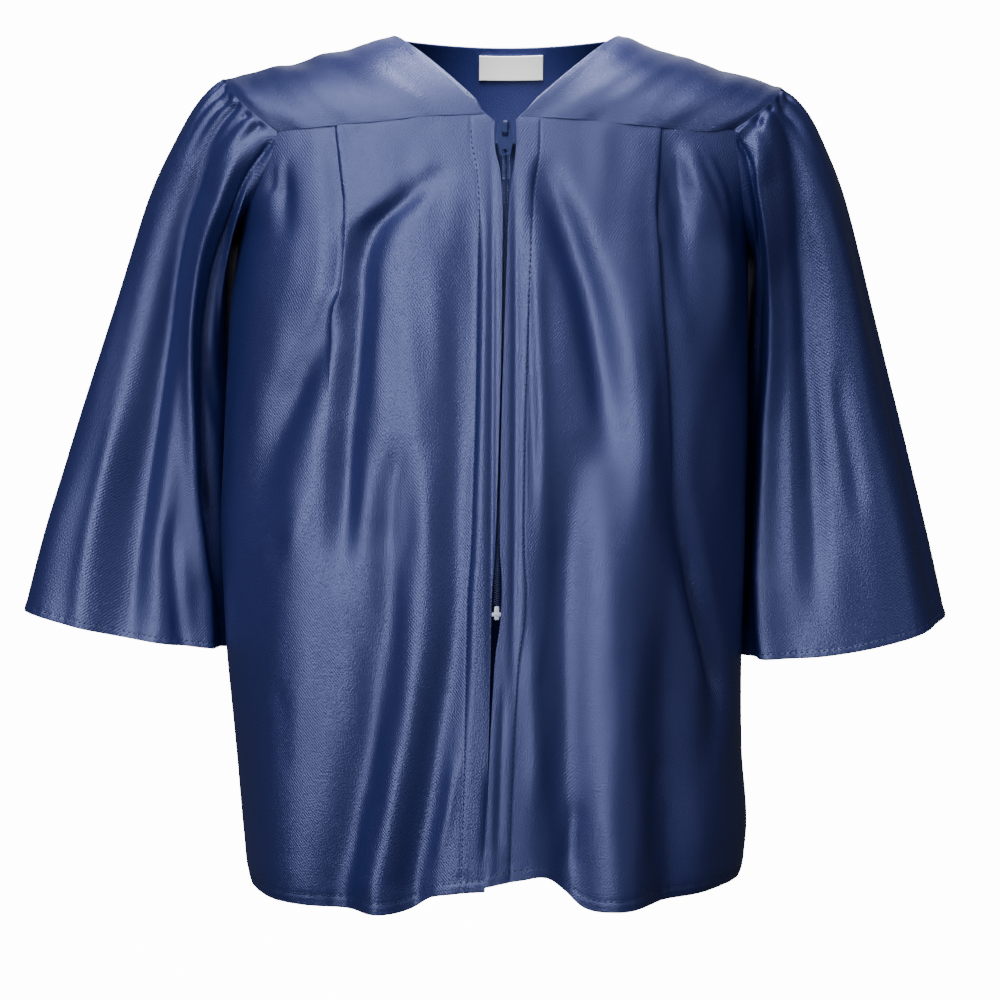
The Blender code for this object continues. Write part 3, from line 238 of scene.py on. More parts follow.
# Fine gathers at the sleeve heads: turn at the seam and where they end, depth, width in degrees, and reach
rearGathers = rowsOf(
    "turn depth width reach",
    ((-8, -14), -2.4, 2.2, 0.24),
    ((-20, -30), -2.8, 2.4, 0.28),
    ((-32, -44), -2.8, 2.4, 0.30),
    ((-44, -60), -2.8, 2.4, 0.32),
    ((-56, -76), -2.8, 2.4, 0.34),
    ((-70, -94), -2.8, 2.6, 0.34))
headGathers = {
    "right": rowsOf(
        "turn depth width reach",
        ((3, 6), -2.4, 2.0, 0.16),
        ((10, 16), -3.0, 2.0, 0.22),
        ((14, 22), 1.6, 2.2, 0.22),
        ((19, 28), -3.2, 2.0, 0.24),
        ((28, 38), -3.4, 2.2, 0.26),
        ((33, 44), 2.0, 2.2, 0.26),
        ((38, 50), -3.4, 2.2, 0.28),
        ((48, 62), -3.4, 2.2, 0.30),
        ((54, 70), 2.2, 2.4, 0.30),
        ((58, 76), -3.4, 2.2, 0.30),
        ((67, 86), -3.6, 2.4, 0.32),
        ((76, 98), -3.6, 2.6, 0.34),
        ((90, 114), -3.0, 3.4, 0.34)) + rearGathers,
    "left": rowsOf(
        "turn depth width reach",
        ((6, 10), -2.4, 2.6, 0.20),
        ((18, 26), -3.0, 2.8, 0.26),
        ((31, 42), -3.6, 2.6, 0.20),
        ((38, 48), 3.8, 4.0, 0.13),
        ((46, 60), -3.8, 2.6, 0.26),
        ((58, 76), -3.4, 2.8, 0.30),
        ((70, 92), -3.8, 2.6, 0.20),
        ((79, 98), 4.0, 4.2, 0.12),
        ((88, 112), -3.8, 2.8, 0.30)) + rearGathers,
}
cloth = {
    "thick": 1.2,          # wall of the cloth, mm
    "edgeRound": 0.55,     # roundness of its edges, mm
    "seamGap": 0.04,       # each piece is cut back by this at a seam, mm
    "armholeGap": 0.05,
    "layerGap": 0.35,
    "hemHeight": 7.2,      # turned hem, up to its stitching, mm
    "placket": 16.0,       # turned front edge, up to its stitching, mm
    "hemLift": 0.35,       # how far the turned layer stands out, mm
    "pucker": 0.28,        # ripples along the stitching, mm
    "undulation": 0.3,     # small waves all over the cloth, mm
    "turning": 5.0,        # half width of the turned edges inside each side seam, mm
    "turningBack": 0.3,    # how far they lie behind the cloth, mm
}
# Lengths over which things fade in, millimetres, but radians at the sides
fading = {"side": 0.16, "tuckEdge": 1.2, "tuckRecover": 16.0, "folds": 14.0, "creases": 6.0,
          "opening": 5.0, "waves": 40.0, "placketTop": 4.0}
# The left front laps over the right one below this height
lap = {"raise": 2.2, "top": -425, "rise": 60, "reach": 20, "fall": 18}
seeds = {"front": {"right": 11, "left": 12}, "back": 21, "yoke": {"right": 31, "left": 32},
         "sleeve": {"right": 41, "left": 42}}


def smoothStep(t):
    # 0 below 0, 1 above 1, and 3t^2 - 2t^3 between
    t = np.clip(t, 0.0, 1.0)
    return t * t * (3 - 2 * t)


def columnOf(table, key, by):
    # a table's knots and the values of one of its columns, from the lowest knot up
    knots, values = np.array(table[by], float), np.array(table[key], float)
    return (knots[::-1], values[::-1]) if knots[0] > knots[-1] else (knots, values)


def curveAt(table, key, place, by="z"):
    # a table's column as a smooth curve: cubic pieces whose slope at a row is the mean slope around it
    knots, values = columnOf(table, key, by)
    slopes = np.gradient(values, knots)
    p = np.clip(np.asarray(place, float), knots[0], knots[-1])
    k = np.clip(np.searchsorted(knots, p) - 1, 0, len(knots) - 2)
    span = knots[k + 1] - knots[k]
    t = (p - knots[k]) / span
    held = values[k] * (1 + 2 * t) * (1 - t) ** 2 + values[k + 1] * t * t * (3 - 2 * t)
    return held + span * (slopes[k] * t * (1 - t) ** 2 + slopes[k + 1] * t * t * (t - 1))


def straightAt(table, key, place, by="z"):
    # a table's column as straight lines between its rows
    knots, values = columnOf(table, key, by)
    return np.interp(np.asarray(place, float), knots, values)


def unit(v):
    return v / np.maximum(np.linalg.norm(v, axis=-1, keepdims=True), 1e-12)


def spaced(*parts):
    # joins runs of (start, end, steps), each start being the end before it
    values = [np.array([parts[0][0]])]
    for start, end, steps in parts:
        values.append(np.linspace(start, end, steps + 1)[1:])
    return np.concatenate(values)


def pathCreases(a, b, table, keys, stretch=1.0):
    # each crease is a soft bell of the distance to its path; the bell is wider on one side,
    # and its height rises from its first end and falls to its last one
    total = np.zeros(np.broadcast(a, b).shape)
    for crease in table:
        px = np.array(crease[keys[0]], float)
        pz = np.array(crease[keys[1]], float) * stretch
        steps = np.hypot(np.diff(px), np.diff(pz))
        start = np.concatenate([[0], np.cumsum(steps)]) / steps.sum()
        best = np.full(total.shape, 1e9)
        side = np.zeros(total.shape)
        place = np.zeros(total.shape)
        for k in range(len(steps)):
            dx, dz = px[k + 1] - px[k], pz[k + 1] - pz[k]
            qx, qz = a - px[k], b * stretch - pz[k]
            t = np.clip((qx * dx + qz * dz) / (dx * dx + dz * dz), 0, 1)
            away = np.hypot(qx - t * dx, qz - t * dz)
            nearer = away < best
            best = np.where(nearer, away, best)
            side = np.where(nearer, (qx * dz - qz * dx) * math.copysign(1, dz), side)
            place = np.where(nearer, start[k] + t * (start[k + 1] - start[k]), place)
        width = np.where(side < 0, crease["width"][0], crease["width"][1])
        ends = crease.get("ends", (0.1, 0.1))
        strength = ends[0] + (1 - ends[0]) * smoothStep(place / 0.3)
        strength = strength * (ends[1] + (1 - ends[1]) * smoothStep((1 - place) / 0.3))
        total += crease["raise"] * strength * np.exp(-(best / width) ** 2)
    return total


def waves(u, v, seed, across=34.0, down=150.0, count=14):
    # sum of sine waves of many lengths and directions, mostly running down the cloth
    draw = np.random.default_rng(seed)
    total = np.zeros(np.broadcast(u, v).shape)
    for _ in range(count):
        size = draw.uniform(0.45, 1.6)
        ku = 2 * math.pi / (across * size) * draw.choice((-1, 1))
        kv = 2 * math.pi / (down * draw.uniform(0.5, 1.6))
        total += size * np.sin(ku * u + kv * v + draw.uniform(0, 2 * math.pi))
    return total / math.sqrt(count)


def section(side, face, z):
    # half width, depth and squareness of the body's level section at height z, in millimetres
    data = sides[side]
    power = curveAt(squareness, "power", z)
    depth = curveAt(depthOf[face], "y", z) - sideY
    cx, cy, cz = data[face + "Corner"]
    cornerPower = curveAt(squareness, "power", cz)
    cornerDepth = curveAt(depthOf[face], "y", cz) - sideY
    topWidth = cx / (1 - ((cy - sideY) / cornerDepth) ** cornerPower) ** (1 / cornerPower)
    ux, uz = data["underarm"][0], data["underarm"][2]
    rise = smoothStep((z - uz) / (cz - uz))
    width = np.where(z > uz, ux + (topWidth - ux) * rise, curveAt(sideSeam[side], "x", z))
    return width, depth, power


def shareOf(turn, power):
    # width and depth shares of a superellipse at an angle, 0 at the middle and a quarter turn at the side
    c, d = np.sin(turn), np.cos(turn)
    size = (np.abs(c) ** power + np.abs(d) ** power) ** (1 / power)
    return c / size, d / size


def turnAt(side, face, x, z):
    # the angle of the point that lies x from the middle at height z
    width, _, power = section(side, face, z)
    a = np.clip(x / width, -0.9999, 0.9999)
    return np.arctan2(a, (1 - np.abs(a) ** power) ** (1 / power))


def armholeLower(side, face, q):
    # the armhole below the yoke's corner: a quarter turn from the corner down to the underarm
    _, cy, cz = sides[side][face + "Corner"]
    _, uy, uz = sides[side]["underarm"]
    y = uy + (cy - uy) * np.cos(q * math.pi / 2)
    z = cz + (uz - cz) * np.sin(q * math.pi / 2)
    width, depth, power = section(side, face, z)
    b = np.clip((y - sideY) / depth, 0, 1)
    a = (1 - b ** power) ** (1 / power)
    return np.stack([width * a, y, z], -1), np.arctan2(a, b)


def quarterOver(foot, top, q, bend, reach=math.pi / 2):
    # from the yoke seam up to the top line along part of an ellipse seen from the side
    turn = q * reach
    rise = np.sin(turn) / np.sin(reach)
    x = foot[..., 0] + (top[..., 0] - foot[..., 0]) * (1 - (1 - rise) ** bend)
    left = (np.cos(turn) - np.cos(reach)) / (1 - np.cos(reach))
    y = top[..., 1] + (foot[..., 1] - top[..., 1]) * left
    z = foot[..., 2] + (top[..., 2] - foot[..., 2]) * rise
    return np.stack([x, y, z], -1)


def foldHeight(side, x, z):
    # the large folds: soft bells across x whose middle and height follow smooth curves down the front
    total = np.zeros_like(x)
    for fold in frontFolds[side]:
        middle = curveAt(fold, "x", z)
        height = straightAt(fold, "raise", z)
        if fold["z"][-1] > foldsReachHem:
            height = np.where(z < fold["z"][-1], 0.0, height)
        height = np.where(z > fold["z"][0], 0.0, height)
        total += height * np.exp(-((x - middle) / fold["width"]) ** 2)
    return total


def tuckHeight(side, x, z):
    # the tuck: a step down just outside its line that recovers further out, with a raised lip
    line = straightAt(tuckLine[side], "x", z)
    step = straightAt(tuckLine[side], "step", z)
    out = x - line
    fall = smoothStep(out / fading["tuckEdge"])
    recover = smoothStep((out - fading["tuckEdge"]) / fading["tuckRecover"])
    lip = 0.16 * np.exp(-((out + 2.2) / 3.2) ** 2)
    return step * (lip - fall * (1 - recover))


def edgeRow(side, face, r):
    # the outer end of a row, its height and angle: r runs 0 to 1 along the armhole, 1 to 2 to the hem
    upper, upperTurn = armholeLower(side, face, np.clip(r, 0, 1))
    underZ = sides[side]["underarm"][2]
    z = np.where(r <= 1, upper[..., 2], underZ + (hemLine[side]["z"][-1] - underZ) * np.clip(r - 1, 0, 1))
    return z, np.where(r <= 1, upperTurn, math.pi / 2)


def rowHeight(r, share, topZ, underZ, hemZ):
    # height of a point of a row: even steps at the middle, the armhole's own steps at its edge
    upper = np.clip(r, 0, 1)
    drop = upper + (np.sin(upper * math.pi / 2) - upper) * share ** 3
    return np.where(r <= 1, topZ + (underZ - topZ) * drop, underZ + (hemZ - underZ) * np.clip(r - 1, 0, 1))


def outwardOf(turn, width, depth, power):
    # level direction square to the section
    a, b = shareOf(turn, power)
    ox = np.abs(a) ** (power - 1) / width
    oy = np.abs(b) ** (power - 1) / np.abs(depth)
    size = np.hypot(ox, oy)
    return ox / size, np.sign(depth) * oy / size


def turnedEdge(away, edge, lift):
    # a turned hem or placket: the doubled layer stands out up to its stitching, which sinks in
    doubled = smoothStep((edge + 0.4 - away) / 0.9) * lift
    sunk = -0.32 * np.exp(-((away - edge) / 0.75) ** 2)
    return doubled + sunk


def ripples(run, away, edge, size, seed, length=8.5):
    # puckers along a line of stitching: uneven short waves that die away from it
    drift = 1.7 * np.sin(run / 23.0 + seed) + 1.1 * np.sin(run / 9.7 + 2 * seed)
    strength = 0.65 + 0.35 * np.sin(run / 31.0 + 3 * seed)
    return size * strength * np.sin(2 * math.pi * run / length + drift) * np.exp(-((away - edge) / 6.5) ** 2)


def frontSurface(side, r, turn, fine=True, tucked=1.0):
    # a point of the front at row r and angle turn: the section, then folds, tuck, creases and turned edges
    edgeZ, edgeTurn = edgeRow(side, "front", r)
    width, depth, power = section(side, "front", edgeZ)
    x = width * shareOf(turn, power)[0]
    underZ = sides[side]["underarm"][2]
    topZ = straightAt(yokeSeam[side], "z", x, "x")
    hemZ = curveAt(hemLine[side], "z", x, "x")
    z = rowHeight(r, turn / edgeTurn, topZ, underZ, hemZ)
    width, depth, power = section(side, "front", z)
    a, b = shareOf(turn, power)
    x = width * a
    y = sideY + depth * b
    sign = sides[side]["sign"]
    inner = curveAt(middleEdge[side], "x", z) * sign
    sideFade = smoothStep((edgeTurn - turn) / fading["side"])
    topFade = smoothStep((topZ - z) / fading["folds"])
    openFade = smoothStep((x - inner - cloth["placket"] * 0.7) / fading["opening"])
    height = foldHeight(side, x, z) * topFade * sideFade * openFade
    height = height + tucked * tuckHeight(side, x, z) * sideFade
    if fine:
        reach = smoothStep((topZ - z) / fading["creases"]) * sideFade
        crease = pathCreases(x, z, frontCreases[side], ("x", "z"))
        small = cloth["undulation"] * waves(x, z, seeds["front"][side])
        height = height + (crease * openFade + small * smoothStep((x - inner) / fading["waves"])) * reach
        height = height + pathCreases(x, z, openingCreases[side], ("x", "z")) * reach
        fromHem = z - hemZ
        fromOpening = x - inner
        height = height + turnedEdge(fromHem, cloth["hemHeight"], cloth["hemLift"]) * sideFade
        height = height + ripples(x, fromHem, 5.0, cloth["pucker"], 1.3) * sideFade
        placket = turnedEdge(fromOpening, cloth["placket"], cloth["hemLift"])
        height = height + placket * smoothStep((topZ - z) / fading["placketTop"])
        height = height + ripples(z, fromOpening, cloth["placket"], cloth["pucker"] * 0.8, 2.1) * reach
        if side == "left":
            lower = smoothStep((lap["top"] - z) / lap["rise"])
            height = height + lap["raise"] * lower * smoothStep((lap["reach"] - fromOpening) / lap["fall"])
    outX, outY = outwardOf(turn, width, depth, power)
    return np.stack([sign * (x + outX * height), y + outY * height, z], -1) * mm


# Distances of a front's first columns from its opening, millimetres; the stitching follows one of them
openingColumns = (0, 0.25, 0.6, 1.2, 2.2, 3.4, 4.6, 5.8, 7.0, 8.4, 10, 12, 13.8, 15, 15.6, 16.2, 17, 18.5)
stitchColumn = openingColumns.index(15.6)


def frontColumns(side, r):
    # angles of a row's columns: turned edge, then to the tuck, its step, and on to the side seam
    edgeZ, edgeTurn = edgeRow(side, "front", r)
    z = rowHeight(r, 0.0, -57, sides[side]["underarm"][2], -565)
    first = curveAt(middleEdge[side], "x", z) * sides[side]["sign"]
    line = straightAt(tuckLine[side], "x", z)
    x = [first + d for d in openingColumns]
    near = line - 8
    for share in np.linspace(0, 1, 40)[1:]:
        x.append(first + 18.5 + (near - first - 18.5) * share)
    for d in (-6, -4.4, -3, -1.8, -0.8, 0, 0.3, 0.6, 0.9, 1.2):
        x.append(line + d)
    turns = turnAt(side, "front", np.stack(x), edgeZ)
    start = turnAt(side, "front", line + 1.2, edgeZ)
    rest = start + (edgeTurn - start) * np.linspace(0, 1, 41)[1:, None]
    return np.concatenate([turns, rest]).T


def skirtRows(step, hemStep):
    # rows from the yoke seam to the hem, close together at both ends
    top = spaced((0, 0.05, 4), (0.05, 1, 24))
    down = spaced((1, 2 - 0.034, step), (2 - 0.034, 2, hemStep))
    return np.concatenate([top, down[1:]])


def gridNormals(grid, closed=False):
    # normal of each grid point from its neighbours along rows and columns
    across = np.roll(grid, -1, 1) - np.roll(grid, 1, 1) if closed else np.gradient(grid, axis=1)
    return unit(np.cross(across, np.gradient(grid, axis=0)))


def towardsMiddle(grid, normals):
    # the normals turned towards the middle of the grid's own rows
    middle = grid.reshape(-1, 3).mean(0) * [0, 0, 1]
    return -normals if np.sum(normals * (middle - grid)) < 0 else normals


def cutBack(grid, edges, cut):
    # moves the named edges of a grid back along the cloth
    grid = grid.copy()
    if "top" in edges:
        grid[0] += unit(grid[1] - grid[0]) * cut
    if "foot" in edges:
        grid[-1] += unit(grid[-2] - grid[-1]) * cut
    if "first" in edges:
        grid[:, 0] += unit(grid[:, 1] - grid[:, 0]) * cut
    if "last" in edges:
        grid[:, -1] += unit(grid[:, -2] - grid[:, -1]) * cut
    return grid


def addEdgeLines(grid, inward, closed, free):
    # puts two more lines close to each open edge, so that the edge can be rounded there;
    # returns how far each line lies from its edge, in millimetres
    gaps = (0.0, 0.22, 0.6)

    def grow(values, axis):
        values, lines = np.moveaxis(values, axis, 0), np.moveaxis(grid, axis, 0)
        step = np.linalg.norm(lines[1] - lines[0], axis=-1).mean() / mm
        last = np.linalg.norm(lines[-1] - lines[-2], axis=-1).mean() / mm
        head = [values[0] + (values[1] - values[0]) * min(g / step, 0.9) for g in gaps[1:]]
        tail = [values[-1] + (values[-2] - values[-1]) * min(g / last, 0.9) for g in gaps[:0:-1]]
        values = np.concatenate([values[:1], head, values[1:-1], tail, values[-1:]])
        return np.moveaxis(values, 0, axis)

    def lineGaps(count, first, last):
        away = np.full(count, 9.0)
        if first in free:
            away[:3] = gaps
        if last in free:
            away[-3:] = gaps[::-1]
        return away

    newGrid, newInward = grow(grid, 0), grow(inward, 0)
    rowsAway = lineGaps(newGrid.shape[0], "top", "foot")
    colsAway = np.full(newGrid.shape[1], 9.0)
    if not closed:
        grid = newGrid
        newGrid, newInward = grow(newGrid, 1), grow(newInward, 1)
        colsAway = lineGaps(newGrid.shape[1], "first", "last")
    return newGrid, unit(newInward), np.minimum(rowsAway[:, None], colsAway[None, :])


def layUv(grid, closed):
    # cloth coordinates in metres: mean length along the columns and down the rows
    across = np.linalg.norm(np.diff(grid, axis=1), axis=-1)
    down = np.linalg.norm(np.diff(grid, axis=0), axis=-1).mean(1)
    u = np.concatenate([np.zeros((len(grid), 1)), np.cumsum(across, 1)], 1)
    u -= u.mean(1, keepdims=True)
    if closed:
        u = np.repeat(u.mean(0, keepdims=True), len(grid), 0)
    v = -np.concatenate([[0], np.cumsum(down)])
    return np.stack([u, np.repeat(v[:, None], grid.shape[1], 1)], -1)


def gridQuads(rows, cols, closed=False):
    # four-sided faces between the points of a grid; a closed grid also joins its last column to its first
    i, j = np.meshgrid(np.arange(rows - 1), np.arange(cols if closed else cols - 1), indexing="ij")
    a, b = i * cols + j, i * cols + (j + 1) % cols
    return np.stack([a, b, b + cols, a + cols], -1).reshape(-1, 4)


def meshFrom(name, points, quads, uv, material, wholeRound=None):
    # an object from arrays of points and four-sided faces, with cloth coordinates for each point;
    # on a tube the faces between its last and first columns take the first one's a whole round further
    corners = uv[quads]
    if wholeRound is not None:
        across = corners[..., 0]
        joining = np.ptp(across, axis=1) > wholeRound / 2
        across[joining] += np.where(across[joining] < 0, wholeRound, 0)
    mesh = bpy.data.meshes.new(name)
    mesh.vertices.add(len(points))
    mesh.vertices.foreach_set("co", np.ascontiguousarray(points, dtype=np.float32).ravel())
    mesh.loops.add(quads.size)
    mesh.loops.foreach_set("vertex_index", quads.ravel().astype(np.int32))
    mesh.polygons.add(len(quads))
    mesh.polygons.foreach_set("loop_start", np.arange(0, quads.size, 4, dtype=np.int32))
    mesh.polygons.foreach_set("use_smooth", np.ones(len(quads), dtype=bool))
    layer = mesh.uv_layers.new(name="cloth")
    layer.data.foreach_set("uv", np.ascontiguousarray(corners, dtype=np.float32).ravel())
    mesh.update(calc_edges=True)
    mesh.validate()
    mesh.materials.append(material)
    piece = bpy.data.objects.new(name, mesh)
    bpy.context.scene.collection.objects.link(piece)
    return piece


def clothShell(name, grid, inward, material, thick=None, closed=False, roundEdge=None,
               free=("top", "foot", "first", "last")):
    # a wall of cloth: the outer grid and the same grid moved inwards, whose edges curve together
    # as a circle's quarter: the outer face sinks by radius - sqrt(radius^2 - (radius - away)^2)
    thick = cloth["thick"] if thick is None else thick
    radius = min(cloth["edgeRound"] if roundEdge is None else roundEdge, thick * 0.46)
    grid, inward, away = addEdgeLines(grid, inward, closed, free)
    near = np.clip(radius - away, 0, radius)
    sink = (radius - np.sqrt(np.maximum(radius ** 2 - near ** 2, 0)))[..., None] * mm
    outer = grid + inward * sink
    inner = grid + inward * (thick * mm - sink)
    rows, cols = grid.shape[:2]
    uv = layUv(grid, closed)
    points = np.concatenate([outer.reshape(-1, 3), inner.reshape(-1, 3)])
    half = rows * cols
    face = gridQuads(rows, cols, closed)
    back = face[:, ::-1] + half
    j = np.arange(cols if closed else cols - 1)
    low = (rows - 1) * cols
    k = (j + 1) % cols
    rims = [np.stack([j, j + half, k + half, k], -1),
            np.stack([low + j, low + k, low + k + half, low + j + half], -1)]
    if not closed:
        i = np.arange(rows - 1) * cols
        e = i + cols - 1
        rims += [np.stack([i, i + cols, i + cols + half, i + half], -1),
                 np.stack([e, e + half, e + cols + half, e + cols], -1)]
    quads = np.concatenate([face, back] + rims)
    normal = np.cross(points[face[:, 1]] - points[face[:, 0]], points[face[:, 3]] - points[face[:, 0]])
    if np.sum(normal * (inner - outer).reshape(-1, 3)[face[:, 0]]) > 0:
        quads = quads[:, ::-1]
    wholeRound = None
    if closed:
        wholeRound = np.ptp(uv[0, :, 0]) + np.linalg.norm(grid[:, 0] - grid[:, -1], axis=-1).mean()
    return meshFrom(name, points, quads, np.concatenate([uv.reshape(-1, 2)] * 2), material, wholeRound)


# Stitches: length and gap along the seam, width and height, millimetres
stitchSize = {"length": 1.9, "gap": 2.0, "wide": 1.0, "high": 0.34}


def stitchRun(path, out, length, gap, wide, high):
    # stitches along a path: each is a small boat of four cross sections with four points each
    steps = np.concatenate([[0], np.cumsum(np.linalg.norm(np.diff(path, axis=0), axis=1))])
    pitch = (length + gap) * mm
    count = max(int(steps[-1] / pitch), 1)
    middle = (np.arange(count) + 0.5) * steps[-1] / count

    def at(place, values):
        return np.stack([np.interp(place, steps, values[:, k]) for k in range(3)], -1)

    ahead = unit(at(middle + length / 2 * mm, path) - at(middle - length / 2 * mm, path))
    up = unit(at(middle, out))
    across = unit(np.cross(ahead, up))
    corners = []
    for share, size in ((-0.5, 0.12), (-0.28, 1.0), (0.28, 1.0), (0.5, 0.12)):
        spot = at(middle, path) + ahead * share * length * mm
        for dx, dz in ((-0.5, 0.0), (-0.3, 1.0), (0.3, 1.0), (0.5, 0.0)):
            corners.append(spot + across * dx * wide * size * mm + up * (dz * high * size + 0.02) * mm)
    points = np.stack(corners, 1)
    block = np.concatenate([gridQuads(4, 4, closed=True), [(3, 2, 1, 0), (12, 13, 14, 15)]])
    quads = (block[None] + 16 * np.arange(count)[:, None, None]).reshape(-1, 4)
    return points.reshape(-1, 3), quads


def stitches(name, runs, material, **sizes):
    # all stitch runs of one seam as one object
    points, quads, base = [], [], 0
    for path, out in runs:
        p, q = stitchRun(path, out, **sizes)
        points.append(p)
        quads.append(q + base)
        base += len(p)
    points = np.concatenate(points)
    return meshFrom(name, points, np.concatenate(quads), points[:, [0, 2]], material)


def newMaterial(name):
    made = bpy.data.materials.new(name)
    made.use_nodes = True
    return made, made.node_tree.links, made.node_tree.nodes["Principled BSDF"]


def addNode(made, kind, inputs):
    # one shader node with the values of its inputs
    node = made.node_tree.nodes.new("ShaderNode" + kind)
    for socket, value in inputs.items():
        node.inputs[socket].default_value = value
    return node


def twoColours(made, links, shader, look, noise):
    # the base colour drifts between the look's two shades
    colours = addNode(made, "Mix", {})
    colours.data_type = "RGBA"
    colours.inputs[6].default_value = (*look["dark"], 1)
    colours.inputs[7].default_value = (*look["pale"], 1)
    links.new(noise.outputs["Fac"], colours.inputs[0])
    links.new(colours.outputs[2], shader.inputs["Base Color"])


def surfaceOf(made, links, shader, look, noise, heights, depth):
    # roughness from a noise, bump from heights of the given depth, and the look's own sockets
    rough = addNode(made, "MapRange", {"To Min": look["rough"][0], "To Max": look["rough"][1]})
    bump = addNode(made, "Bump", {"Strength": look["bump"], "Distance": depth})
    links.new(noise.outputs["Fac"], rough.inputs["Value"])
    links.new(rough.outputs["Result"], shader.inputs["Roughness"])
    links.new(heights, bump.inputs["Height"])
    links.new(bump.outputs["Normal"], shader.inputs["Normal"])
    for socket, value in look["sockets"].items():
        shader.inputs[socket].default_value = value


def clothMaterial(name, look):
    # woven cloth: slow colour drift, diagonal twill lines and fine threads as bump
    made, links, shader = newMaterial(name)
    place = addNode(made, "TexCoord", {})
    drift = addNode(made, "TexNoise", {"Scale": look["driftScale"], "Detail": 4})
    links.new(place.outputs["Object"], drift.inputs["Vector"])
    twoColours(made, links, shader, look, drift)
    turned = addNode(made, "Mapping", {"Rotation": (0, 0, math.radians(look["twillTurn"]))})
    twillScale = 2 * math.pi / (20 * look["twillPitch"] * mm)
    twill = addNode(made, "TexWave", {"Scale": twillScale, "Distortion": look["twillUneven"],
                                      "Detail": 2, "Detail Scale": 0.05})
    twill.bands_direction = "X"
    stretched = addNode(made, "Mapping", {"Scale": (980, 700, 1)})
    threads = addNode(made, "TexNoise", {"Scale": 1.0, "Detail": 2})
    for mapping, texture in ((turned, twill), (stretched, threads)):
        links.new(place.outputs["UV"], mapping.inputs["Vector"])
        links.new(mapping.outputs["Vector"], texture.inputs["Vector"])
    together = addNode(made, "Math", {1: look["twillShare"]})
    together.operation = "MULTIPLY_ADD"
    links.new(twill.outputs["Fac"], together.inputs[0])
    links.new(threads.outputs["Fac"], together.inputs[2])
    surfaceOf(made, links, shader, look, threads, together.outputs[0], look["grainHeight"] * mm)
    return made


def hardMaterial(name, look):
    # enamelled metal or moulded plastic: slight mottling, fine unevenness and worn roughness
    made, links, shader = newMaterial(name)
    place = addNode(made, "TexCoord", {})
    mottle = addNode(made, "TexNoise", {"Scale": look["mottleScale"], "Detail": 5})
    links.new(place.outputs["Object"], mottle.inputs["Vector"])
    twoColours(made, links, shader, look, mottle)
    surfaceOf(made, links, shader, look, mottle, mottle.outputs["Fac"], 0.1 * mm)
    return made


# Looks: two linear colours, the drift between them, and the twill's turn in degrees and pitch and
# height in millimetres
satinLook = {
    "dark": (0.0082, 0.0128, 0.083), "pale": (0.0125, 0.0182, 0.108), "driftScale": 9.0,
    "twillTurn": 38, "twillPitch": 1.5, "twillUneven": 1.2, "twillShare": 0.2,
    "bump": 1.0, "grainHeight": 0.36, "rough": (0.33, 0.48),
    "sockets": {"IOR": 1.8, "Specular IOR Level": 0.95, "Specular Tint": (0.47, 0.53, 1.0, 1.0)},
}
tapeLook = {
    "dark": (0.010, 0.018, 0.075), "pale": (0.014, 0.024, 0.10), "driftScale": 40.0,
    "twillTurn": 60, "twillPitch": 0.8, "twillUneven": 0.3, "twillShare": 1.5,
    "bump": 0.6, "grainHeight": 0.2, "rough": (0.7, 0.85),
    "sockets": {"Specular IOR Level": 0.35},
}
labelLook = {
    "dark": (0.90, 0.90, 0.91), "pale": (0.96, 0.96, 0.96), "driftScale": 60.0,
    "twillTurn": 0, "twillPitch": 0.45, "twillUneven": 0.1, "twillShare": 1.0,
    "bump": 0.35, "grainHeight": 0.2, "rough": (0.45, 0.6),
    "sockets": {"Specular IOR Level": 0.5, "Sheen Weight": 0.2},
}
# Thread: its own navy colour, made darker than the cloth as painted shade of the needle holes along the
# stitching
darkThreadLookWithPaintedShade = {
    "dark": (0.006, 0.010, 0.05), "pale": (0.012, 0.018, 0.08), "driftScale": 200.0,
    "twillTurn": 30, "twillPitch": 0.3, "twillUneven": 0.2, "twillShare": 1.0,
    "bump": 0.5, "grainHeight": 0.2, "rough": (0.4, 0.5),
    "sockets": {"Specular IOR Level": 0.7, "Specular Tint": (0.7, 0.8, 1.0, 1.0)},
}
coilLook = {"dark": (0.012, 0.02, 0.085), "pale": (0.02, 0.032, 0.12), "mottleScale": 400.0,
            "rough": (0.3, 0.45), "bump": 0.2, "sockets": {"Specular IOR Level": 0.6}}
enamelLook = {"dark": (0.020, 0.034, 0.15), "pale": (0.032, 0.050, 0.19), "mottleScale": 260.0,
              "rough": (0.28, 0.38), "bump": 0.25,
              "sockets": {"Metallic": 0.2, "Coat Weight": 0.12, "Coat Roughness": 0.3}}
stopLook = {"dark": (0.62, 0.68, 0.88), "pale": (0.74, 0.79, 0.95), "mottleScale": 300.0,
            "rough": (0.2, 0.35), "bump": 0.2, "sockets": {"Specular IOR Level": 0.7}}

satin = clothMaterial("satinCloth", satinLook)
tapeCloth = clothMaterial("zipTapeCloth", tapeLook)
labelCloth = clothMaterial("labelWeave", labelLook)
# the stitching's material: navy thread whose darkness is partly painted shade of the needle holes
stitchThreadPaintedDarker = clothMaterial("navyThreadPaintedDarker", darkThreadLookWithPaintedShade)
coil = hardMaterial("nylonCoil", coilLook)
enamel = hardMaterial("blueEnamel", enamelLook)
paleStop = hardMaterial("paleStop", stopLook)
print("materials made")


# The camera, its distance in metres and its lens in millimetres
view = {"place": (-0.0021, -1.55, -0.308), "lens": 79.7}
camera = bpy.data.objects.new("camera", bpy.data.cameras.new("camera"))
camera.data.sensor_width = 36
camera.data.lens = view["lens"]
camera.data.clip_end = 50
camera.location = view["place"]
camera.rotation_euler = (math.pi / 2, 0, 0)
bpy.context.scene.collection.objects.link(camera)
bpy.context.scene.camera = camera

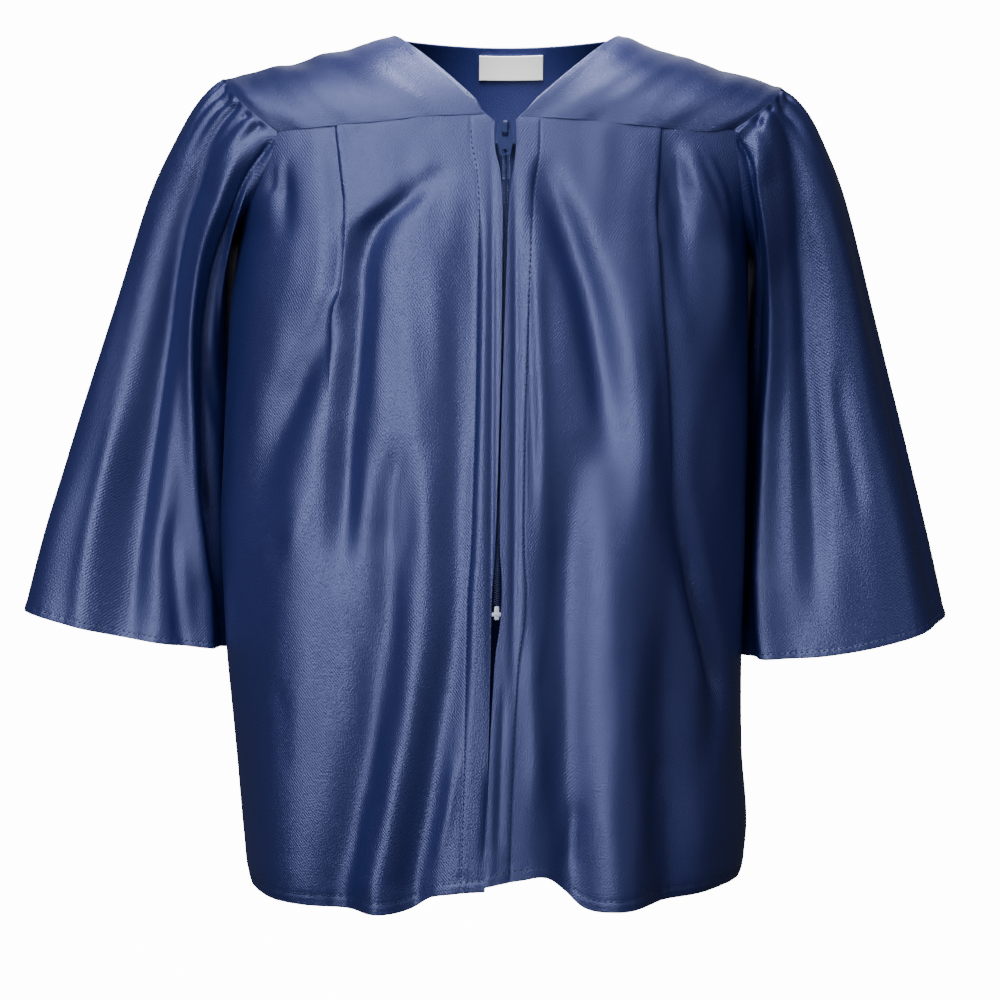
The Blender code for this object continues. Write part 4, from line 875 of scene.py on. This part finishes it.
lights = {
    "key": {"at": (-1.05, -2.1, 0.35), "aim": (0, 0, -0.15), "wide": 1.2, "tall": 2.9, "power": 53},
    "above": {"at": (-0.1, -0.75, 1.35), "aim": (0, -0.1, 0), "wide": 1.5, "tall": 1.3, "power": 22},
    "fill": {"at": (1.5, -1.7, 0.2), "aim": (0, 0, -0.3), "wide": 0.9, "tall": 1.6, "power": 4},
    "behind": {"at": (0.2, 2.0, 1.4), "aim": (0, 0, -0.2), "wide": 1.6, "tall": 1.2, "power": 8},
    "neck": {"at": (0.0, -0.03, 0.10), "aim": (0, 0.075, -0.01), "wide": 0.14, "tall": 0.06, "power": 0.75},
}
for lightName, item in lights.items():
    lamp = bpy.data.lights.new(lightName, "AREA")
    lamp.shape = "RECTANGLE"
    lamp.size = item["wide"]
    lamp.size_y = item["tall"]
    lamp.energy = item["power"]
    holder = bpy.data.objects.new(lightName, lamp)
    holder.location = item["at"]
    aim = np.array(item["aim"]) - np.array(item["at"])
    flat = math.hypot(aim[0], aim[1])
    holder.rotation_euler = (math.pi / 2 + math.atan2(aim[2], flat), 0, math.atan2(-aim[0], aim[1]))
    holder.visible_camera = False
    bpy.context.scene.collection.objects.link(holder)

world = bpy.data.worlds.new("studio")
world.use_nodes = True
world.node_tree.nodes["Background"].inputs["Color"].default_value = (0.93, 0.95, 1.0, 1)
world.node_tree.nodes["Background"].inputs["Strength"].default_value = 0.07
bpy.context.scene.world = world

stageSize = {"floorZ": -0.74, "half": 7.0, "wall": 4.5, "curve": 1.2, "height": 5.0}


def stageProfile(t):
    # the floor runs back level, turns up along a quarter circle and rises as a wall
    flatEnd = stageSize["wall"] - stageSize["curve"]
    lengths = np.array([flatEnd + stageSize["half"], stageSize["curve"] * math.pi / 2, stageSize["height"]])
    run = t * lengths.sum()
    level = np.minimum(run, lengths[0]) - stageSize["half"]
    bend = np.clip((run - lengths[0]) / lengths[1], 0, 1) * math.pi / 2
    climb = np.maximum(run - lengths[0] - lengths[1], 0)
    rise = stageSize["floorZ"] + stageSize["curve"] * (1 - np.cos(bend)) + climb
    return level + stageSize["curve"] * np.sin(bend), rise


stageY, stageZ = stageProfile(np.linspace(0, 1, 90))
stageX = np.linspace(-stageSize["half"], stageSize["half"], 2)
stageGrid = np.stack([np.repeat(stageX[None], 90, 0), np.repeat(stageY[:, None], 2, 1),
                      np.repeat(stageZ[:, None], 2, 1)], -1)
paperLook = {"dark": (0.93, 0.93, 0.93), "pale": (0.96, 0.96, 0.96), "scale": 3.0, "glow": 14.0,
             "rough": 0.9, "shine": 0.1}
paper, paperLinks, paperShader = newMaterial("palePaper")
paperNoise = addNode(paper, "TexNoise", {"Scale": paperLook["scale"]})
twoColours(paper, paperLinks, paperShader, paperLook, paperNoise)
paperShader.inputs["Roughness"].default_value = paperLook["rough"]
paperShader.inputs["Specular IOR Level"].default_value = paperLook["shine"]
paperShader.inputs["Emission Color"].default_value = (1, 1, 1, 1)
paperShader.inputs["Emission Strength"].default_value = paperLook["glow"]
stagePoints = stageGrid.reshape(-1, 3)
floor = meshFrom("paleFloor", stagePoints, gridQuads(90, 2), stagePoints[:, :2], paper)
floor.visible_glossy = False
floor.visible_diffuse = False
print("camera, light and floor set")


def levelInward(points):
    # level direction square to a row of points, towards the inside of the gown
    tangent = np.gradient(points, axis=0)
    inward = unit(np.stack([-tangent[:, 1], tangent[:, 0], np.zeros(len(points))], -1))
    return -inward if np.sum(inward * -points * [1, 1, 0]) < 0 else inward


def intoArmhole(points):
    # direction from the armhole's edge to its middle
    towards = np.array([0, shoulderY + 2, -72]) * mm - points
    towards[..., 0] = 0
    return unit(towards)


def hemRow(grid):
    # the row of a panel that lies one hem's height above its foot
    above = (grid[:, 60, 2] - grid[-1, 60, 2]) / mm
    return int(np.argmin(np.abs(above - cloth["hemHeight"])))


def finish(piece, body, slot, *nodes):
    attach(piece, body)
    if nodes:
        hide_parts(*nodes)
    return piece


frontStitches = []
for side in ("right", "left"):
    rows = skirtRows(104, 10)
    turns = frontColumns(side, rows)
    grid = frontSurface(side, np.repeat(rows[:, None], turns.shape[1], 1), turns)
    inward = towardsMiddle(grid, gridNormals(grid))
    inward[0] = levelInward(grid[0])
    arm = rows <= 1
    inward[arm, -1] = intoArmhole(grid[arm, -1])
    inward[~arm, -1] = [-sides[side]["sign"], 0, 0]
    grid = cutBack(grid, ("top", "last"), cloth["seamGap"] * mm)
    piece = clothShell(f"frontCloth_{side}", grid, inward, satin, free=("first", "foot"))
    finish(piece, "gown", "satin", f"front_{side}")
    # stitching up the turned front edge and along the hem
    frontStitches.append((grid[6:-4, stitchColumn], -inward[6:-4, stitchColumn]))
    row = hemRow(grid)
    frontStitches.append((grid[row, 4:-2], -inward[row, 4:-2]))
finish(stitches("frontStitching", frontStitches, stitchThreadPaintedDarker, **stitchSize), "gown", "satin")
print("fronts made")


def shoulderLine(side, q):
    # straight from the neck point to the shoulder point, with a slight dip on the way
    neck, shoulder = np.array(sides[side]["neck"], float), np.array(sides[side]["shoulder"], float)
    line = neck + (shoulder - neck) * q[:, None]
    line[:, 2] -= 1.5 * np.sin(math.pi * q)
    line[:, 0] *= sides[side]["sign"]
    return line * mm


def yokeRelief(rows, seed, q, size=0.5):
    # the seam's turned layers make a low ridge along the yoke's foot, and the cloth ripples above it
    return 0.35 * np.exp(-((1 - rows) / 0.035) ** 2) + size * waves(q * 160, rows * 60, seed, 40, 60)


def frontYokeGrid(side, columns, rowCount):
    # from the yoke seam up and over to the shoulder line, a quarter of an ellipse in each column
    corner = sides[side]["frontCorner"]
    footX = sides[side]["yokeFoot"]
    x = footX + (corner[0] - footX) * columns
    turn = turnAt(side, "front", x, corner[2])
    foot = frontSurface(side, np.zeros_like(x), turn, fine=False)
    level = frontSurface(side, np.zeros_like(x), turn, fine=False, tucked=0.0)
    top = shoulderLine(side, columns)
    q = spaced((1, 0.9, 8), (0.9, 0.06, rowCount), (0.06, 0, 3))
    grid = quarterOver(level[None], top[None], q[:, None], 1.0 + 0.6 * columns[None])
    grid = grid + (foot - level)[None] * (1 - smoothStep((1 - q) / 0.09))[:, None, None]
    return grid, q


def backNeck(q):
    # the back neck edge, a half sine wave deep and a little raised at the middle
    x = -sides["right"]["neck"][0] + (sides["left"]["neck"][0] + sides["right"]["neck"][0]) * q
    bulge = np.sin(math.pi * q) ** 0.8
    return np.stack([x, shoulderY + 46 * bulge, 16 + 3 * bulge], -1) * mm


def backFoldHeight(x, share):
    # the back's large folds: soft bells across x whose height goes evenly from the yoke seam to the hem
    total = np.zeros(np.broadcast(x, share).shape)
    for fold in backFolds:
        height = fold["top"] + (fold["hem"] - fold["top"]) * share
        total += height * np.exp(-((x - fold["x"]) / fold["width"]) ** 2)
    return total


# Fine creases of the back: a path in x (signed) and z, height and half widths, millimetres
backCreases = rowsOf(
    "x z raise width",
    ((-120, -112, -108), (-120, -200, -300), -2.0, (5, 9)),
    ((-58, -60, -66), (-100, -220, -380), 2.0, (6, 9)),
    ((-22, -20, -24), (-96, -190, -330), 2.2, (5, 8)),
    ((14, 18, 16), (-110, -240, -400), -2.4, (5, 8)),
    ((48, 52, 58), (-96, -200, -330), 2.0, (8, 5)),
    ((84, 88, 84), (-110, -260, -440), -2.0, (6, 8)),
    ((116, 112, 118), (-130, -240, -380), 2.0, (7, 5)),
    ((-94, -88, -92), (-330, -430, -560), 2.4, (8, 5)),
    ((-18, -26, -20), (-360, -460, -560), -2.4, (5, 9)),
    ((50, 44, 50), (-380, -470, -560), 2.2, (9, 5)),
    ((146, 140, 150), (-300, -400, -520), 2.0, (7, 7)),
    ((-150, -140, -146), (-220, -330, -450), 2.0, (7, 7)))


def backSurface(rows, perSide, fine=True):
    # the back from its yoke seam to its hem: the section, folds, gathers under the seam, creases and hem
    middleUnder = 0.5 * (sides["right"]["underarm"][2] + sides["left"]["underarm"][2])
    halves = []
    for side in ("right", "left"):
        sign = sides[side]["sign"]
        underZ = sides[side]["underarm"][2]
        edgeTurn = edgeRow(side, "back", rows)[1]
        share = np.linspace(0, 1, perSide + 1)[None, :]
        turn = edgeTurn[:, None] * share
        r = np.repeat(rows[:, None], perSide + 1, 1)
        under = middleUnder + (underZ - middleUnder) * share ** 2
        hem = backHemZ + (hemLine[side]["z"][-1] - backHemZ) * share ** 2
        z = rowHeight(r, share, backYokeZ, under, hem)
        width, depth, power = section(side, "back", z)
        a, b = shareOf(turn, power)
        x = width * a
        y = sideY + depth * b
        fall = r / 2
        gather = 1.6 * np.cos(math.pi * 16 * share + 0.5 * np.sin(9 * share)) * smoothStep(1 - fall * 2.2)
        fade = smoothStep((edgeTurn[:, None] - turn) / fading["side"]) * smoothStep(r / 0.35)
        height = (backFoldHeight(sign * x, fall) + gather) * fade
        if fine:
            close = 0.7 * np.cos(math.pi * 37 * share + 1.2 * np.sin(17 * share)) * smoothStep(1 - fall * 3.6)
            height = height + (close + pathCreases(sign * x, z, backCreases, ("x", "z"))) * fade
            height = height + cloth["undulation"] * waves(sign * x, z, seeds["back"]) * fade
            height = height + turnedEdge(z - hem, cloth["hemHeight"], cloth["hemLift"]) * fade
            height = height + ripples(sign * x, z - hem, 5.0, cloth["pucker"], 0.6) * fade
        outX, outY = outwardOf(turn, width, depth, power)
        halves.append(np.stack([sign * (x + outX * height), y + outY * height, z], -1) * mm)
    right, left = halves
    return np.concatenate([right[:, ::-1], left[:, 1:]], 1)


def backYokeGrid(perShoulder, perNeck, rowCount):
    # from the back yoke seam up to the shoulder lines and to the standing neck edge
    shoulder = np.linspace(1, 0, perShoulder + 1)
    neck = np.linspace(0, 1, perNeck + 1)
    top = np.concatenate([shoulderLine("right", shoulder), backNeck(neck)[1:-1],
                          shoulderLine("left", shoulder[::-1])])
    seam = backSurface(np.array([0.0]), 60, fine=False)[0]
    steps = np.concatenate([[0], np.cumsum(np.linalg.norm(np.diff(seam, axis=0), axis=1))])
    steps /= steps[-1]
    ownX = (top[:, 0] - top[0, 0]) / (top[-1, 0] - top[0, 0])
    foot = np.stack([np.interp(ownX, steps, seam[:, k]) for k in range(3)], -1)
    bend = 1.0 + 0.6 * np.abs(2 * ownX - 1) ** 3
    acrossNeck = np.clip((np.arange(len(top)) - perShoulder) / perNeck, 0, 1)
    reach = math.pi / 2 - neckStand * np.sin(math.pi * acrossNeck) ** 0.7
    q = spaced((1, 0.06, rowCount), (0.06, 0, 3))
    return quarterOver(foot, top, q[:, None], bend, reach), q


yokeGrids = {}
for side in ("right", "left"):
    columns = spaced((0, 0.03, 4), (0.03, 1, 66))
    grid, q = frontYokeGrid(side, columns, 46)
    inward = towardsMiddle(grid, gridNormals(grid))
    lift = yokeRelief(1 - q[:, None], seeds["yoke"][side], columns[None]) * smoothStep((1 - q) / 0.1)[:, None]
    lift = lift * smoothStep((1 - columns) / 0.06)[None] * smoothStep(columns / 0.06)[None]
    grid = grid - inward * lift[..., None] * mm
    yokeGrids[side] = (grid, inward.copy())
    inward[0] = [0, 0, -1]
    inward[-1] = levelInward(grid[-1])
    inward[:, -1] = intoArmhole(grid[:, -1])
    grid = cutBack(grid, ("top", "foot"), cloth["seamGap"] * mm)
    piece = clothShell(f"frontYokeCloth_{side}", grid, inward, satin, free=("first",))
    finish(piece, "gown", "satin", f"front_yoke_{side}")
grid, q = backYokeGrid(44, 56, 44)
inward = towardsMiddle(grid, gridNormals(grid))
inward[0, :45] = [0, 0, -1]
inward[0, -45:] = [0, 0, -1]
inward[-1] = levelInward(grid[-1])
inward[:, 0] = intoArmhole(grid[:, 0])
inward[:, -1] = intoArmhole(grid[:, -1])
backYokeOuter = grid.copy()
grid = cutBack(grid, ("top", "foot"), cloth["seamGap"] * mm)
piece = clothShell("backYokeCloth", grid, inward, satin, free=("top",))
finish(piece, "gown", "satin", "back_yoke")

rows = skirtRows(96, 10)
grid = backSurface(rows, 92)
inward = towardsMiddle(grid, gridNormals(grid))
inward[0] = levelInward(grid[0])
arm = rows <= 1
for column, sign in ((0, -1), (-1, 1)):
    inward[arm, column] = intoArmhole(grid[arm, column])
    inward[~arm, column] = [-sign, 0, 0]
    # the turned edges inside the side seam: a narrow strip close behind it
    seam = grid[~arm, column][:-3]
    strip = np.repeat(seam[:, None], 5, 1)
    strip[..., 0] -= sign * (cloth["thick"] + cloth["turningBack"]) * mm
    strip[..., 1] += np.linspace(-1, 1, 5) * cloth["turning"] * mm
    turned = clothShell("sideTurning_" + ("right" if sign < 0 else "left"), strip,
                        np.broadcast_to([-sign, 0.0, 0.0], strip.shape), satin, thick=0.6, roundEdge=0.2)
    finish(turned, "gown", "satin")
grid = cutBack(grid, ("top", "first", "last"), cloth["seamGap"] * mm)
piece = clothShell("backCloth", grid, inward, satin, free=("foot",))
finish(piece, "gown", "satin", "back")
row = hemRow(grid)
finish(stitches("backStitching", [(grid[row, 2:-2], -inward[row, 2:-2])], stitchThreadPaintedDarker, **stitchSize),
       "gown", "satin")
print("yokes and back made")


def armholeHalf(side, face, h):
    # the armhole's edge, h from 0 at the shoulder point to 1 at the underarm
    data = sides[side]
    if face == "front":
        turn = turnAt(side, "front", data["frontCorner"][0], data["frontCorner"][2])
        corner = frontSurface(side, np.zeros(1), np.array([turn]), fine=False)[0] / mm * [data["sign"], 1, 1]
    else:
        corner = armholeLower(side, "back", np.zeros(1))[0][0]
    shoulder = np.array(data["shoulder"], float)
    q = np.clip(1 - h / headShare, 0, 1)
    head = quarterOver(corner[None], shoulder[None], q, 1.6)
    lower = armholeLower(side, face, np.clip((h - headShare) / (1 - headShare), 0, 1))[0]
    return np.where((h <= headShare)[:, None], head, lower)


def sleeveSurface(side, t, h):
    # rings from the armhole to the cuff: each ring is an oval that leaves the armhole's own shape,
    # then folds, gathers at the head, creases and the turned cuff move it outwards or inwards
    shape = dict(sleeveShape[side], k=tuple(range(12)))
    place = t * 11
    value = {key: curveAt(shape, key, place, "k")[:, None] for key in shape if key != "k"}
    leave = np.clip(value["leave"], 0, 1)
    outer = np.stack([value["outerX"], 0 * value["outerX"], value["outerZ"]], -1)
    inner = np.stack([value["innerX"], 0 * value["innerX"], value["innerZ"]], -1)
    middle = (outer + inner) / 2 + np.stack([0 * leave, value["middleY"], 0 * leave], -1)
    reach = (outer - inner) / 2
    deep = np.stack([0 * leave, value["halfDepth"], 0 * leave], -1)
    ownHalf = np.where(h <= headShare, cornerTurn * h / headShare,
                       cornerTurn + (180 - cornerTurn) * (h - headShare) / (1 - headShare))
    own = np.concatenate([ownHalf, -ownHalf[-2:0:-1]])
    even = np.concatenate([180 * h, -180 * h[-2:0:-1]])
    loop = np.concatenate([armholeHalf(side, "front", h), armholeHalf(side, "back", h)[-2:0:-1]])

    def oval(index, angle):
        a = np.radians(angle)[..., None]
        c, d = np.cos(a), np.sin(a)
        wide, far = (np.sign(v) * np.abs(v) ** (2 / square[index]) for v in (c, d))
        return middle[index] + reach[index] * wide - deep[index] * far

    square = (2 + (sleeveSquare - 2) * leave)[..., None]

    rest = loop - oval(slice(0, 1), own[None])[0]
    turn = own[None] * (1 - leave) + even[None] * leave
    ring = oval(slice(None), turn) + rest[None] * (1 - leave)[..., None]
    height = np.zeros(turn.shape)
    share = t[:, None]
    height += pathCreases(turn, share, sleeveFolds[side], ("turn", "t"), 360) * smoothStep(share / 0.06)
    height += innerSwell[side] * np.exp(-((np.abs(turn) - 180) / 26) ** 2) * smoothStep((share - 0.12) / 0.15)
    for gather in headGathers[side]:
        done = np.clip(share / gather["reach"], 0, 1)
        centre = gather["turn"][0] + (gather["turn"][1] - gather["turn"][0]) * done
        depth = gather["depth"] * smoothStep(share / 0.022) * (1 - done) ** 1.3
        height += depth * np.exp(-((turn - centre) / (gather["width"] * (1 + 1.2 * done))) ** 2)
    small = waves(turn * 1.1, share * 400, seeds["sleeve"][side], 30, 150)
    height += cloth["undulation"] * small * smoothStep(share / 0.08)
    fromCuff = (1 - share) * sleeveLength[side]
    height += turnedEdge(fromCuff, cloth["hemHeight"], cloth["hemLift"])
    height += ripples(turn * 1.2, fromCuff, 5.0, cloth["pucker"], 2.7)
    out = unit(ring - middle)
    ring = ring + out * height[..., None]
    ring[..., 0] += cloth["armholeGap"]
    facingFront = np.clip(np.sin(np.radians(turn)), 0, 1) ** 2
    ring[..., 2] -= cuffDroop[side] * facingFront * np.clip(2 * share - 1, 0, 1) ** 2
    return ring * [sides[side]["sign"], 1, 1] * mm


sleeveStitches = []
for side in ("right", "left"):
    t = spaced((0, 0.06, 12), (0.06, 0.45, 34), (0.45, 0.962, 52), (0.962, 1, 13))
    h = spaced((0, 0.5, 104), (0.5, 1, 62))
    grid = sleeveSurface(side, t, h)
    inward = gridNormals(grid, closed=True)
    middle = grid.mean(1, keepdims=True)
    if np.sum(inward * (middle - grid)) < 0:
        inward = -inward
    inward[0] = intoArmhole(grid[0])
    piece = clothShell(f"sleeveCloth_{side}", grid, inward, satin, closed=True, free=("foot",))
    finish(piece, "gown", "satin", f"sleeve_{side}")
    row = int(np.argmin(np.abs((1 - t) * sleeveLength[side] - cloth["hemHeight"])))
    path, out = (np.concatenate([lines[row], lines[row, :1]]) for lines in (grid, inward))
    sleeveStitches.append((path, -out))
finish(stitches("cuffStitching", sleeveStitches, stitchThreadPaintedDarker, **stitchSize), "gown", "satin")
print("sleeves made")


# Neck facings: how far they show beyond the neck edge and lie under it, wall and lean, millimetres
facing = {"show": {"right": 5.0, "left": 3.0}, "under": 7.0, "thick": 1.0, "lean": 2.2}
for side in ("right", "left"):
    grid, inward = yokeGrids[side]
    edge = grid[:, 0]
    across = unit(grid[:, 1] - grid[:, 0])
    into = inward[:, 0]
    down = np.linspace(0, 1, len(edge))[:, None]
    show = facing["show"][side] * (0.35 + 0.65 * down) * smoothStep((1 - down) / 0.12)
    under = facing["under"] + show * 0
    places = [-show, -show * 0.8, -show * 0.4, show * 0, under * 0.3, under]
    columns = np.stack([edge + across * place * mm for place in places], 1)
    lean = facing["lean"] * np.array([1, 0.75, 0.3, 0, 0, 0])[None, :, None]
    lifted = (columns + into[:, None] * (cloth["thick"] + cloth["layerGap"] + lean) * mm)[4:-2]
    piece = clothShell(f"neckFacing_{side}", lifted, np.repeat(into[4:-2, None], 6, 1), satin,
                       thick=facing["thick"])
    finish(piece, "gown", "satin", f"neck_facing_{side}")

# The label inside the back neck, millimetres; top is its upper edge's height
label = {"x": 6.0, "top": 14.0, "width": 47.0, "height": 16.5, "thick": 0.8}


def onBackYoke(x, z):
    # point of the back yoke's outer face at x and z, with its inward direction
    lines = np.stack([[np.interp(x, row[:, 0], row[:, k]) for k in range(6)] for row in backYokeFace])[::-1]
    return np.stack([np.interp(z, lines[:, 2], lines[:, k]) for k in range(6)])


backYokeFace = np.concatenate([backYokeOuter, towardsMiddle(backYokeOuter, gridNormals(backYokeOuter))], -1)
labelX = (label["x"] + np.linspace(-0.5, 0.5, 33) * label["width"]) * mm
labelZ = (label["top"] - np.linspace(0, 1, 15) * label["height"]) * mm
found = np.array([[onBackYoke(x, z) for x in labelX] for z in labelZ])
into = unit(found[..., 3:])
labelGrid = found[..., :3] + into * (cloth["thick"] + 1.6 * cloth["layerGap"]) * mm
piece = clothShell("neckLabel", labelGrid, into, labelCloth, thick=label["thick"], roundEdge=0.3)
finish(piece, "gown", "label", "neck_label")
print("facing and label made")


# The zip, in millimetres; top and foot are the heights where its teeth begin and end
zipSizes = {"tape": 8.5, "tapeThick": 1.0, "chain": 4.6, "top": -71.0, "foot": -377.0,
            "toothPitch": 1.5, "toothWide": 2.9, "toothHigh": 1.05}


def frontMiddle(z):
    # the zip's line at height z, midway between the two front edges on the plain front
    x = 0.5 * (straightAt(middleEdge["right"], "x", z) + straightAt(middleEdge["left"], "x", z))
    return np.stack([x, straightAt(depthOf["front"], "y", z) + 0 * x, np.asarray(z, float)], -1)


tapeZ = np.linspace(zipSizes["top"], zipSizes["foot"] - 18, 90)
near = zipSizes["chain"] / 2 + cloth["layerGap"]
for side, sign in (("right", -1), ("left", 1)):
    offsets = np.sort(sign * np.array([near, near + 0.8, near + 2, near + 5, near + zipSizes["tape"]]))
    line = frontMiddle(tapeZ) + [0, cloth["thick"] + cloth["layerGap"] + 1.4, 0]
    grid = (line[:, None] + offsets[None, :, None] * [1, 0, 0]) * mm
    into = np.zeros_like(grid)
    into[..., 1] = 1
    piece = clothShell(f"zipTape_{side}", grid, into, tapeCloth, thick=zipSizes["tapeThick"])
    finish(piece, "gown", "zip_tape", f"zip_tape_{side}")


def coilTeeth():
    # each tooth is a short rounded bar across the chain: a ring of eight points swept through seven
    # sections whose size is the root of 1 - along^4; teeth of the two sides alternate
    count = int((zipSizes["top"] - zipSizes["foot"]) / (zipSizes["toothPitch"] / 2))
    z = zipSizes["top"] - 0.4 - np.arange(count) * zipSizes["toothPitch"] / 2
    sign = np.where(np.arange(count) % 2 == 0, -1.0, 1.0)
    depth = cloth["thick"] + cloth["layerGap"] + 1.25
    middle = frontMiddle(z) + np.stack([sign * 0.72, depth + 0 * z, 0 * z], -1)
    along = np.linspace(-1, 1, 7)
    size = np.sqrt(np.maximum(1 - along ** 4, 0.04))
    angle = np.linspace(0, 2 * math.pi, 9)[:-1]
    x = along[:, None] * zipSizes["toothWide"] / 2 + 0 * angle[None]
    y = size[:, None] * np.sin(angle)[None] * zipSizes["toothHigh"]
    up = size[:, None] * np.cos(angle)[None] * zipSizes["toothPitch"] * 0.235
    ring = np.stack([x, y, up], -1)
    points = middle[:, None, None] + ring[None]
    caps = [(3, 2, 1, 0), (7, 4, 3, 0), (7, 6, 5, 4), (48, 49, 50, 51), (48, 51, 52, 55), (52, 53, 54, 55)]
    quads = np.concatenate([gridQuads(7, 8, closed=True), caps])
    quads = (quads[None] + 56 * np.arange(count)[:, None, None]).reshape(-1, 4)
    points = points.reshape(-1, 3) * mm
    return meshFrom("zipTeeth", points, quads, points[:, [0, 2]], coil)


teeth = coilTeeth()
finish(teeth, "gown", "zip_coil", "zip_chain")
coreZ = np.linspace(zipSizes["top"], zipSizes["foot"], 60)
coreGrid = (frontMiddle(coreZ)[:, None] + np.array([[-0.7, 2.6, 0], [0, 2.4, 0], [0.7, 2.6, 0]])[None]) * mm
coreInto = np.zeros_like(coreGrid)
coreInto[..., 1] = 1
finish(clothShell("zipCord", coreGrid, coreInto, tapeCloth, thick=0.9), "gown", "zip_tape")

# The bottom stop, in millimetres: a bar down the teeth with a crossbar clenched over the tapes
stop = {"x": -4.23, "y": -105.55, "z": -381.85, "tall": 9.0, "wide": 6.6, "bar": 3.3, "cross": 2.6,
        "crossUp": -0.9, "thick": 1.0, "power": 0.35, "around": 20}


def roundedBlock(wide, tall, thick, at):
    # a block with rounded corners: rings of a squared circle, drawn in at the front and the back
    a = np.linspace(0, 2 * math.pi, stop["around"], endpoint=False)
    c, d = (np.sign(v) * np.abs(v) ** stop["power"] for v in (np.cos(a), np.sin(a)))
    rings = []
    rounding = ((0.0, 0.0), (0.0, 0.86), (0.12, 0.96), (0.3, 1.0),
                (0.7, 1.0), (0.88, 0.96), (1.0, 0.86), (1.0, 0.0))
    for share, size in rounding:
        ring = np.stack([c * (wide / 2) * size, np.full_like(a, -thick * share), d * (tall / 2) * size], -1)
        rings.append(ring + at)
    return np.concatenate(rings), gridQuads(len(rings), stop["around"], closed=True)


middle = np.array([stop["x"], stop["y"] + stop["thick"] / 2, stop["z"]])
bar, barQuads = roundedBlock(stop["bar"], stop["tall"], stop["thick"] * 0.8, middle)
cross, crossQuads = roundedBlock(stop["wide"], stop["cross"], stop["thick"], middle + [0, 0, stop["crossUp"]])
stopPoints = np.concatenate([bar, cross])
stopQuads = np.concatenate([barQuads, crossQuads + len(bar)])
finish(meshFrom("zipStop", stopPoints * mm, stopQuads, stopPoints[:, [0, 2]] * mm, paleStop),
       "gown", "zip_stop", "zip_stop")

for node in ("zip_slider", "zip_pull_tab"):
    for slotItem in bpy.data.objects[node].material_slots:
        slotItem.material = enamel
print("zip made")
